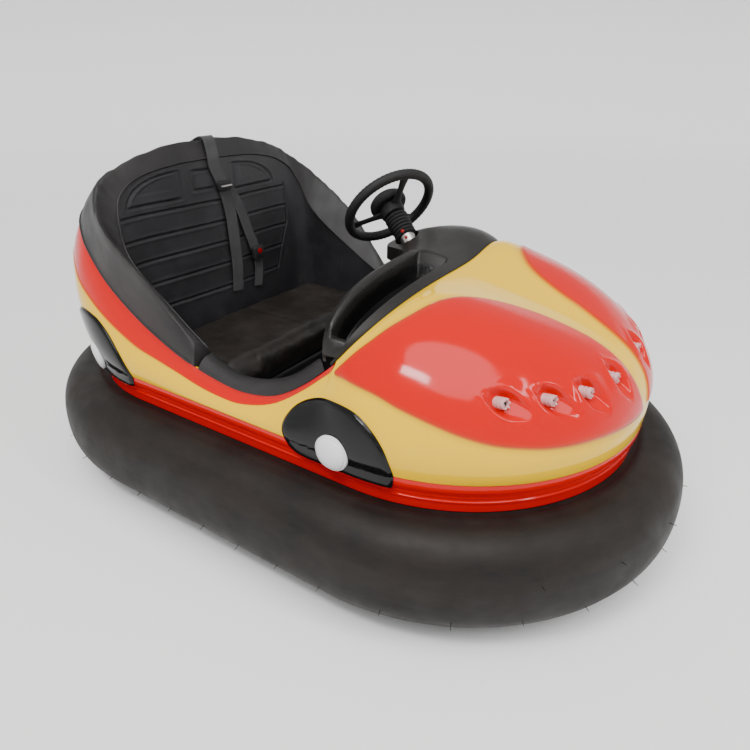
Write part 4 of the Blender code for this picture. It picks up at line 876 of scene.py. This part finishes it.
def build_discs(tree):
    """Mock wheels: flat glossy black discs that hang over the skirt's lip, each with a domed hub cap."""
    for end, (centre, outline) in DISCS.items():
        edge = spline(outline, 120, closed=True)
        for hand, side in (("right", 1), ("left", -1)):
            shares = list(np.linspace(0.04, 0.93, 12)) + [0.965, 0.985, 1.0]
            bm = bmesh.new()
            outer, inner = [], []
            for share in shares:
                lift = 0.0070 - 0.0050 * smoothstep(0.95, 1.0, np.array(share))
                ring_out, ring_in = [], []
                for x, z in edge:
                    px = centre[0] + share * (x - centre[0])
                    pz = centre[1] + share * (z - centre[1])
                    point, normal = on_side_face(tree, px, pz, side)
                    ring_out.append(bm.verts.new(point + float(lift) * normal))
                    ring_in.append(bm.verts.new(point - 0.0012 * normal))
                outer.append(ring_out)
                inner.append(ring_in)
            for layer in (outer, inner):
                for a, b in zip(layer, layer[1:]):
                    bridge(bm, a, b)
                bm.faces.new(layer[0])
            bridge(bm, outer[-1], inner[-1])
            disc = finish_mesh(f"mock_wheel_{end}_{hand}", bm, "disc", smooth=40)
            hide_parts(f"wheel_disc_{end}_{hand}")
            x, z, dome = HUB_CAPS[end]
            point, normal = on_side_face(tree, x, z, side)
            profile = [(0.0004, -0.002), (0.043, -0.002), (0.043, 0.0035), (0.0415, 0.0058), (0.0385, 0.0064)]
            profile += [(0.0385 * math.cos(a), 0.0062 + dome * math.sin(a))
                        for a in np.linspace(0.12, 1.50, 9)]
            profile.append((0.0004, 0.0062 + dome))
            cap = turned(f"hub_cap_dome_{end}_{hand}", profile, point + 0.0065 * normal, normal, "cap",
                         56)
            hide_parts(f"hub_cap_{end}_{hand}")


# ---------------------------------------------------------------- cockpit: liner, roll, sills, cushion
def liner_foot(s):
    x, y, z = hermite(CREASE, abs(s))
    rear = max(0.0, (abs(s) - 0.66) / 0.34)
    foot_z = 0.1096 if x > -0.114 else 0.3056
    return np.array([x + 0.02 * rear, min(y, 0.388), foot_z])


RIB_HEIGHTS = (0.742, 0.676, 0.610, 0.540, 0.465)
BACK_MIDDLE = -0.028            # the pattern's middle, a little towards the passenger's side
FAN_INNER, FAN_OUTER, FAN_LOW, FAN_HIGH = 0.108, 0.292, 0.767, 0.846


def welt(distance):
    """Profile of a pressed line: a sharp groove with a soft shoulder on each side."""
    return -0.0036 * math.exp(-(distance / 0.0032) ** 2) + 0.0012 * math.exp(-((abs(distance)
                                                                                - 0.0075) / 0.0035) ** 2)


def block_edge(z):
    """How far out the ribbed block reaches at height z."""
    return 0.352 - 0.40 * max(0.0, 0.62 - z) - 0.10 * max(0.0, z - 0.69)


def emboss(point):
    """Height of the seat back's moulded lines at a point."""
    x, y, z = point
    if x > -0.36 or z < 0.41:
        return 0.0
    depth = 0.0
    off = abs(y - BACK_MIDDLE)
    edge = block_edge(z)
    if z < RIB_HEIGHTS[0] + 0.012:
        inside = smoothstep(edge + 0.006, edge - 0.006, np.array(off))
        depth += float(inside) * max((welt(z - rib) for rib in RIB_HEIGHTS), key=abs)
        depth += 0.8 * welt(off - edge) * float(smoothstep(RIB_HEIGHTS[-1] - 0.03, RIB_HEIGHTS[-1],
                                                           np.array(z)))
    across, rise = (off - FAN_INNER) / (FAN_OUTER - FAN_INNER), (z - FAN_LOW) / (FAN_HIGH - FAN_LOW)
    reach = math.hypot(max(across, 0.0), max(rise, 0.0))
    size = 0.12
    gap = max((reach - 1) * size * (1.0 if reach > 0.9 else 4.0), -across * (FAN_OUTER - FAN_INNER),
              -rise * (FAN_HIGH - FAN_LOW))
    if abs(gap) < 0.03 and off > FAN_INNER - 0.03:
        depth += welt(gap)
        depth += 0.0012 * float(smoothstep(-0.002, -0.010, np.array(gap)))
    box = max(off - 0.055, abs(z - 0.811) - 0.028)
    if y < 0.02 + BACK_MIDDLE:
        depth += welt(box)
    return depth


def build_liner():
    right = list(np.linspace(S_CORNER + 0.004, 0.66, 40, endpoint=False)) + list(np.linspace(0.66, 0.86, 50,
                                                                                             endpoint=False))
    right += list(np.linspace(0.86, 1.0, 90))
    params = right + [-s for s in reversed(right[:-1])]
    heights = list(np.linspace(0, 0.16, 6, endpoint=False)) + list(np.linspace(0.16, 1, 150))
    bm = bmesh.new()
    rows = []
    tops = []
    for s in params:
        top = on_side(hermite(CREASE, abs(s)), s)
        foot = on_side(liner_foot(s), s)
        tops.append(top)
        rows.append((foot, top))
    grid = []
    for i, (foot, top) in enumerate(rows):
        a, b = tops[max(i - 1, 0)], tops[min(i + 1, len(tops) - 1)]
        along = b - a
        inward = np.array([-along[1], along[0], 0.0])
        inward /= np.linalg.norm(inward)
        if inward @ (np.array([-0.15, 0, 0]) - top * [1, 1, 0]) < 0:
            inward = -inward
        front, back = [], []
        for h in heights:
            p = foot + (top - foot) * h
            soft = 0.010 * math.sin(math.pi * min(1, max(0, (p[2] - 0.40) / 0.45))) if p[0] < -0.30 else 0.0
            front.append(p + (emboss(p) - 0.0005 - 0.25 * soft) * inward)
            back.append(p - 0.006 * inward)
        grid.append(front + [back[-1], back[0]])
    verts = [[bm.verts.new(p) for p in column] for column in grid]
    for here, there in zip(verts, verts[1:]):
        bridge(bm, here, there)
    bm.faces.new(verts[0])
    bm.faces.new(verts[-1])
    liner = finish_mesh("moulded_liner", bm, "liner", smooth=60)
    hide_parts("cockpit_liner")


def build_roll():
    """Padded roll with a soft belly and small puckers, from the rim over the crest to the crease."""
    right = list(np.linspace(ROLL_END_S, 1.0, 150))
    params = right + [-s for s in reversed(right[:-1])]
    sections = []
    for s in params:
        outer = rim(s)
        crest = on_side(hermite(CREST, max(abs(s), ROLL_END_S)), s)
        inner = on_side(hermite(CREASE, abs(s)), s)
        up = np.array([0, 0, 1.0])
        keys = [outer + 0.0016 * up, outer * 0.72 + crest * 0.28 + 0.013 * up,
                outer * 0.35 + crest * 0.65 + 0.012 * up,
                crest + 0.004 * up, inner * 0.4 + crest * 0.6 + 0.010 * up + 0.004 * (crest - outer),
                inner + 0.0020 * up]
        line = spline(keys, 18)
        pucker = 0.0016 * math.sin(s * 61) + 0.0012 * math.sin(s * 143 + 1.3) + 0.0008 * math.sin(s * 271)
        for k in range(1, len(line) - 1):
            line[k][2] += pucker * math.sin(math.pi * k / (len(line) - 1))
        under = [inner * (1 - t) + outer * t + np.array([0, 0, -0.012 * math.sin(math.pi * t)])
                 for t in (0.25, 0.5, 0.75)]
        sections.append(list(line) + under)
    roll = skin("padded_roll", sections, "roll", smooth=60)
    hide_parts("rim_roll")
    for name, table, lift in (("roll_seam_inner", CREASE, 0.004), ("roll_seam_outer", None, 0.0035)):
        line = []
        for s in params[2:-2]:
            p = rim(s) if table is None else on_side(hermite(table, abs(s)), s)
            line.append(p + [0, 0, lift])
        tube(name, line, 0.0028, "roll", count=8)
    for hand, side in (("right", 1), ("left", -1)):
        sections = []
        for s in np.linspace(S_CORNER + 0.006, ROLL_END_S - 0.006, 60):
            outer = rim(side * s)
            inner = on_side(hermite(CREASE, s), side * s)
            up = np.array([0, 0, 1.0])
            keys = [outer + 0.0015 * up, outer * 0.8 + inner * 0.2 + 0.013 * up,
                    (outer + inner) / 2 + 0.019 * up,
                    outer * 0.2 + inner * 0.8 + 0.013 * up, inner + 0.002 * up]
            sections.append(list(spline(keys, 13)) + [(outer + inner) / 2 - 0.002 * up])
        trim = skin(f"padded_sill_{hand}", sections, "roll", smooth=60)
        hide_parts(f"sill_trim_{hand}")


def build_cushion():
    lo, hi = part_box("seat_cushion")
    bm = bmesh.new()
    inset = 0.008
    corners = [lo + Vector((inset, inset, 0.002)), hi - Vector((inset, inset, inset))]
    bmesh.ops.create_cube(bm, size=1.0)
    for v in bm.verts:
        for k in range(3):
            v.co[k] = corners[1][k] if v.co[k] > 0 else corners[0][k]
    bmesh.ops.bevel(bm, geom=bm.edges[:], offset=0.022, segments=3, profile=0.6, affect="EDGES")
    mesh = bpy.data.meshes.new("bench_cushion")
    bm.to_mesh(mesh)
    bm.free()
    cushion = bpy.data.objects.new("bench_cushion", mesh)
    bpy.context.scene.collection.objects.link(cushion)
    bpy.context.view_layer.objects.active = cushion
    cushion.select_set(True)
    remesh = cushion.modifiers.new("remesh", "REMESH")
    remesh.mode = "VOXEL"
    remesh.voxel_size = 0.0095
    bake_modifiers(cushion)
    rest = np.array([v.co for v in cushion.data.vertices])
    cloth = cushion.modifiers.new("cloth", "CLOTH")
    cloth.settings.use_pressure = True
    cloth.settings.uniform_pressure_force = 3.0
    cloth.settings.effector_weights.gravity = 0.0
    cloth.settings.quality = 4
    scene = bpy.context.scene
    scene.frame_start, scene.frame_end = 1, 20
    cloth.point_cache.frame_start, cloth.point_cache.frame_end = 1, 20
    for f in range(1, 15):
        scene.frame_set(f)
    bake_modifiers(cushion)
    scene.frame_set(1)
    points = np.array([v.co for v in cushion.data.vertices])
    move = points - rest
    length = np.linalg.norm(move, axis=1)
    cap = 0.020
    move *= np.minimum(1, cap / np.maximum(length, 1e-9))[:, None]
    points = rest + move
    low, high = np.array(lo), np.array(hi)
    points[:, 2] = np.where(points[:, 2] < low[2], low[2], points[:, 2])
    points[:, 0] = np.clip(points[:, 0], low[0] + 0.001, high[0] + 0.004)
    points[:, 1] = np.clip(points[:, 1], low[1] - 0.004, high[1] + 0.004)
    top = points[:, 2] > high[2] - 0.03
    x_share = (points[:, 0] - low[0]) / (high[0] - low[0])
    seat_dip = 0.010 * np.exp(-((np.abs(points[:, 1]) - 0.19) / 0.12) ** 2) * np.sin(np.pi
                                                                                     * np.clip(x_share, 0, 1))
    points[:, 2] -= np.where(top, seat_dip, 0)
    wrinkle = 0.0012 * np.sin(points[:, 1] * 70 + 3 * np.sin(points[:, 0] * 21)) * np.sin(points[:, 0] * 33)
    points[:, 2] += np.where(top, wrinkle, 0)
    seam = np.exp(-((points[:, 0] - (high[0] - 0.045)) / 0.006) ** 2) + np.exp(-(points[:, 1] / 0.006) ** 2)
    points[:, 2] -= np.where(top, 0.005 * np.clip(seam, 0, 1), 0)
    points[:, 2] = np.minimum(points[:, 2], high[2] + 0.014)
    for v, p in zip(cushion.data.vertices, points):
        v.co = p
    subdivide = cushion.modifiers.new("smooth", "SUBSURF")
    subdivide.levels = subdivide.render_levels = 1
    bake_modifiers(cushion)
    cushion.data.materials.clear()
    cushion.data.materials.append(MAT["cushion"])
    cushion.data.shade_smooth()
    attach(cushion, "chassis")
    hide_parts("seat_cushion")


def bake_modifiers(obj):
    """Turn the object's modifiers into its mesh."""
    depsgraph = bpy.context.evaluated_depsgraph_get()
    mesh = bpy.data.meshes.new_from_object(obj.evaluated_get(depsgraph))
    obj.modifiers.clear()
    old = obj.data
    obj.data = mesh
    bpy.data.meshes.remove(old)


# ---------------------------------------------------------------- cowl
COWL_STATIONS = 64


def cowl_section(t):
    """Points across the cowl at t, from the bonnet's edge back over the collar and down its lip, then underneath."""
    side = math.copysign(1.0, t)
    base = swelled(arch(abs(t)) * [1, side, 1])
    a = min(0.999, abs(t))
    along = arch(min(1, a + 0.01)) - arch(max(0, a - 0.01))
    normal = np.array([0.0, -along[2], along[1]])
    normal /= np.linalg.norm(normal)
    if normal[2] < 0:
        normal = -normal
    normal = normal * [1, side, 1]
    y = base[1]
    hump = math.exp(-((y - 0.150) / 0.095) ** 2)
    pocket = float(smoothstep(0.004, -0.020, np.array(y)) * smoothstep(-0.400, -0.372, np.array(y)))
    depth = 0.136 * (1 - abs(t) ** 2.2) + 0.155 * hump + 0.006
    rise = 0.026 * (1 - abs(t) ** 4) + 0.018 * hump
    back, down = np.array([-1.0, 0, 0]), np.array([0, 0, -1.0])
    lip = 0.045 * (1 - 0.7 * abs(t))
    upper, lower, glossy = [], [], []
    for u in np.linspace(0, 1, COWL_STATIONS):
        swell = math.sin(math.pi * 0.80 * u) ** 0.75 * rise
        hollow = pocket * float(smoothstep(0.16, 0.22, np.array(u)) * smoothstep(0.76, 0.70, np.array(u)))
        collar = 0.008 * pocket * math.exp(-((u - 0.84) / 0.10) ** 2)
        height = 0.0035 + swell + collar - 0.062 * hollow
        point = base + (u * depth - 0.003) * back + height * normal + (0.052 * hump * u ** 2.5) * down
        upper.append(point)
        lower.append(point - 0.008 * normal + 0.004 * hollow * back)
        # the hollow's share becomes the pocket attribute, which glosses the vinyl and also paints shade into its
        # colour
        glossy.append(hollow)
    rear = upper[-1]
    over = [rear + (0.004 * math.sin(b) * back) + 0.010 * (1 - math.cos(b)) * down
            for b in np.linspace(0.3, 1.5, 5)]
    over += [over[-1] + share * (lip - 0.010) * down for share in (0.35, 0.7, 1.0)]
    foot = over[-1] - 0.009 * back
    return upper + over + [foot] + lower[::-4], glossy + [0.0] * (len(over) + 1) + [0.0] * len(lower[::-4])


def build_cowl():
    """Black cowl: a padded collar round an open pocket on the passenger's side, a binnacle before the driver."""
    steps = 190
    bm = bmesh.new()
    layer = bm.verts.layers.float.new("pocket")
    rows = []
    for i in range(steps + 1):
        points, gloss = cowl_section(-0.90 + 1.80 * i / steps)
        row = [bm.verts.new(p) for p in points]
        for vert, value in zip(row, gloss):
            vert[layer] = value
        rows.append(row)
    for here, there in zip(rows, rows[1:]):
        bridge(bm, here, there)
    bm.faces.new(rows[0])
    bm.faces.new(rows[-1])
    cowl = finish_mesh("cowl_moulding", bm, "cowl", smooth=60)
    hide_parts("cowl")
    cut_column_hole(cowl)
    edge = [swelled(arch(abs(t)) * [1, math.copysign(1.0, t), 1]) + [-0.001, 0, 0.002]
            for t in np.linspace(-0.985, 0.985, 120)]
    tube("cowl_edge_bead", edge, 0.0042, "black", count=8)


def cut_column_hole(cowl):
    start, end = (STEER_CENTRE + d * STEER_DIR for d in (0.060, 0.260))
    side, up = axes_for(STEER_DIR)
    bm = bmesh.new()
    rings = [[bm.verts.new(p + 0.036 * (math.cos(a) * side + math.sin(a) * up))
              for a in np.linspace(0, 2 * math.pi, 40, endpoint=False)] for p in (start, end)]
    bridge(bm, rings[0], rings[1])
    bm.faces.new(rings[0])
    bm.faces.new(rings[1])
    bmesh.ops.recalc_face_normals(bm, faces=bm.faces)
    mesh = bpy.data.meshes.new("column_cutter")
    bm.to_mesh(mesh)
    bm.free()
    cutter = bpy.data.objects.new("column_cutter", mesh)
    bpy.context.scene.collection.objects.link(cutter)
    cut = cowl.modifiers.new("column", "BOOLEAN")
    cut.object = cutter
    cut.operation = "DIFFERENCE"
    cut.solver = "EXACT"
    bpy.context.view_layer.update()
    bake_modifiers(cowl)
    bpy.data.objects.remove(cutter, do_unlink=True)


# ---------------------------------------------------------------- steering
def build_steering():
    axis = STEER_DIR
    side, up = axes_for(axis)
    sections = []
    count = 132
    for i in range(count):
        a = 2 * math.pi * i / count
        out = math.cos(a) * side + math.sin(a) * up
        middle = STEER_CENTRE + 0.128 * out
        grips = 0.0006 * math.cos(a * 66)
        ring = []
        for b in np.linspace(0, 2 * math.pi, 20, endpoint=False):
            r = 0.0134 + grips + (0.0008 if abs(b - math.pi) < 1.2 else 0.0)
            ring.append(middle + r * (math.cos(b) * out + math.sin(b) * axis))
        sections.append(ring)
    wheel = skin("wheel_rim", sections, "black", closed=True, body="steering", smooth=60)
    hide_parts("steering_wheel")
    hub = [(0.0004, 0.000), (0.030, 0.000), (0.036, 0.006), (0.037, 0.022), (0.033, 0.034), (0.0004, 0.034)]
    turned("wheel_hub", hub, STEER_CENTRE, axis, "black", 48, "steering")
    for i in range(3):
        a = -math.pi / 2 + 2 * math.pi * i / 3
        out = math.cos(a) * side + math.sin(a) * up
        across = np.cross(axis, out)
        sections = []
        for k in range(15):
            t = k / 14
            p = STEER_CENTRE + (0.024 + 0.098 * t) * out + (0.016 - 0.013 * t) * axis
            wide = 0.0170 - 0.0075 * math.sin(math.pi * min(1, t * 0.9)) + 0.002 * t
            thick = 0.0055 - 0.001 * t
            sections.append([p + wide * math.cos(b) * across + thick * math.sin(b) * axis
                             for b in np.linspace(0, 2 * math.pi, 16, endpoint=False)])
        skin(f"wheel_spoke_{i + 1}", sections, "black", body="steering", smooth=60)
    cup = [(0.0004, 0.002), (0.050, 0.002), (0.0545, -0.004), (0.0550, -0.012), (0.0520, -0.022),
           (0.046, -0.0275),
           (0.040, -0.0285), (0.036, -0.0255), (0.034, -0.0200), (0.0004, -0.0190)]
    pad = turned("wheel_cup_pad", cup, STEER_CENTRE, axis, "black", 64, "steering")
    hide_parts("wheel_pad")

    folds, start, end = 7, 0.040, 0.1137
    pitch = (end - start) / folds
    profile = [(0.0116, start)]
    for i in range(folds):
        swell = 0.0345 - 0.0035 * i / folds
        d = start + i * pitch
        profile += [(swell - 0.0055, d), (swell - 0.0015, d + 0.22 * pitch), (swell, d + 0.5 * pitch),
                    (swell - 0.0015, d + 0.78 * pitch)]
    profile += [(0.0265, end), (0.0116, end)]
    boot = turned("steering_boot", profile, STEER_CENTRE, axis, "black", 56)
    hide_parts("column_boot")
    sleeve = [(0.0116, 0.114), (0.0225, 0.114), (0.0225, 0.122), (0.0240, 0.123), (0.0240, 0.139),
              (0.0225, 0.140),
              (0.0225, 0.345), (0.0116, 0.345)]
    column = turned("steering_column", sleeve, STEER_CENTRE, axis, "bright", 48)
    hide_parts("column_tube")
    for k, (d, reach) in enumerate(((0.108, 0.0300), (0.127, 0.0235))):
        best = min((math.cos(b) * side + math.sin(b) * up for b in np.linspace(0, 2 * math.pi, 72)),
                   key=lambda o: -(o @ np.array([0.35, -0.85, 0.35])))
        place = STEER_CENTRE + d * axis + reach * best
        turned(f"column_button_{k + 1}", [(0.0004, -0.002), (0.0048, -0.002), (0.0048, 0.0025),
                                          (0.0036, 0.0040),
                                          (0.0004, 0.0044)], place, best, "button", 24)


# ---------------------------------------------------------------- belts
def strip(name, points, width, thickness):
    """Belt webbing of even width along points, with stitched, slightly thicker edges."""
    path = spline(points, 8 * len(points))
    sections = []
    for i, p in enumerate(path):
        ahead = path[min(i + 1, len(path) - 1)] - path[max(i - 1, 0)]
        ahead /= np.linalg.norm(ahead)
        wide = np.array([0, 1.0, 0]) - ahead[1] * ahead
        wide /= np.linalg.norm(wide)
        thick = np.cross(ahead, wide)
        ring = []
        for k in range(9):
            u = -1 + 2 * k / 8
            ring.append(p + width / 2 * u * wide + (thickness / 2 + 0.0003 * (abs(u) > 0.8)) * thick)
        for k in range(9):
            u = 1 - 2 * k / 8
            ring.append(p + width / 2 * u * wide - (thickness / 2) * thick)
        sections.append(ring)
    belt = skin(name, sections, "webbing", smooth=60)
    return belt


def liner_x(y, z):
    """x of the seat back's face near its middle."""
    return -0.492 - 0.0045 * min(abs(y) / 0.11, 1.4) + 0.0195 * (0.866 - z) / 0.56


def build_belts():
    over = [(-0.692, 0.0, 0.8200), (-0.640, 0.0, 0.8600), (-0.5835, 0.0, 0.9000), (-0.550, 0.0, 0.9180),
            (-0.520, 0.0, 0.9300), (-0.5055, -0.001, 0.9270), (-0.4955, -0.002, 0.9100),
            (-0.4880, -0.003, 0.8740)]
    down = [(liner_x(y, z) + 0.0045, y, z) for y, z in ((-0.002, 0.850), (0.016, 0.810), (0.032, 0.760),
                                                        (0.044, 0.690),
                                                        (0.047, 0.600), (0.046, 0.520), (0.036, 0.440))]
    shoulder = strip("shoulder_belt", over + down, 0.045, 0.0025)
    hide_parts("belt_shoulder")
    lap = [(liner_x(y, z) + 0.0050, y, z) for y, z in ((0.046, 0.772), (0.086, 0.710), (0.118, 0.620),
                                                       (0.140, 0.560),
                                                       (0.150, 0.500), (0.136, 0.430))]
    lower = strip("lap_belt", lap, 0.038, 0.0025)
    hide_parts("belt_lap")
    for name, node, y, z, wide, tall, deep in (("belt_slider", "belt_adjuster", 0.024, 0.786, 0.054, 0.030,
                                                0.012),
                                               ("buckle_housing", "belt_buckle", 0.143, 0.548, 0.050, 0.046,
                                                0.016)):
        x = liner_x(y, z) + 0.0066
        sections = []
        for dx, k in ((0, 0.96), (0.2, 1.0), (0.7, 1.0), (0.92, 0.93), (1.0, 0.84)):
            sections.append([np.array([x + dx * deep, y + k * wide / 2
                                       * math.copysign(abs(math.cos(a)) ** 0.35, math.cos(a)),
                                       z + k * tall / 2 * math.copysign(abs(math.sin(a)) ** 0.35,
                                                                        math.sin(a))])
                             for a in np.linspace(0, 2 * math.pi, 32, endpoint=False)])
        piece = skin(name, sections, "black", smooth=40)
        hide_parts(node)
    turned("slider_bar", [(0.0004, -0.022), (0.003, -0.022), (0.003, 0.022), (0.0004, 0.022)],
                 (liner_x(0.024, 0.786) + 0.0196, 0.024, 0.786), (0, 1, 0), "bright", 16)
    turned("buckle_button", [(0.0004, -0.001), (0.009, -0.001), (0.009, 0.002), (0.0004, 0.0025)],
           (liner_x(0.143, 0.548) + 0.0230, 0.143, 0.555), (1, 0, 0), "button", 24)


# ---------------------------------------------------------------- carried-over CAD nodes
CARRIED = {
    "steel": ("chassis_tub", "seat_deck", "drive_well", "drive_fork", "drive_motor", "drive_hub",
              "rear_hub_left",
              "rear_hub_right", "rear_bracket_left", "rear_bracket_right", "accelerator_pedal",
              "floor_plate"),
    "bright": ("steering_shaft", "rear_axle_left", "rear_axle_right"),
    "black": ("dash_panel", "seat_riser"),
    "battery": ("battery_block",),
    "tyre": ("drive_tyre", "rear_tyre_left", "rear_tyre_right"),
}


def dress_nodes():
    for key, names in CARRIED.items():
        for name in names:
            obj = nodes[name]
            obj.data.materials.clear()
            obj.data.materials.append(MAT[key])


build_stage()
outer_grid = build_body()
build_lamps()
build_ring()
build_skirt()
build_discs(side_tree(outer_grid))
build_liner()
build_roll()
build_cushion()
build_cowl()
build_steering()
build_belts()
dress_nodes()
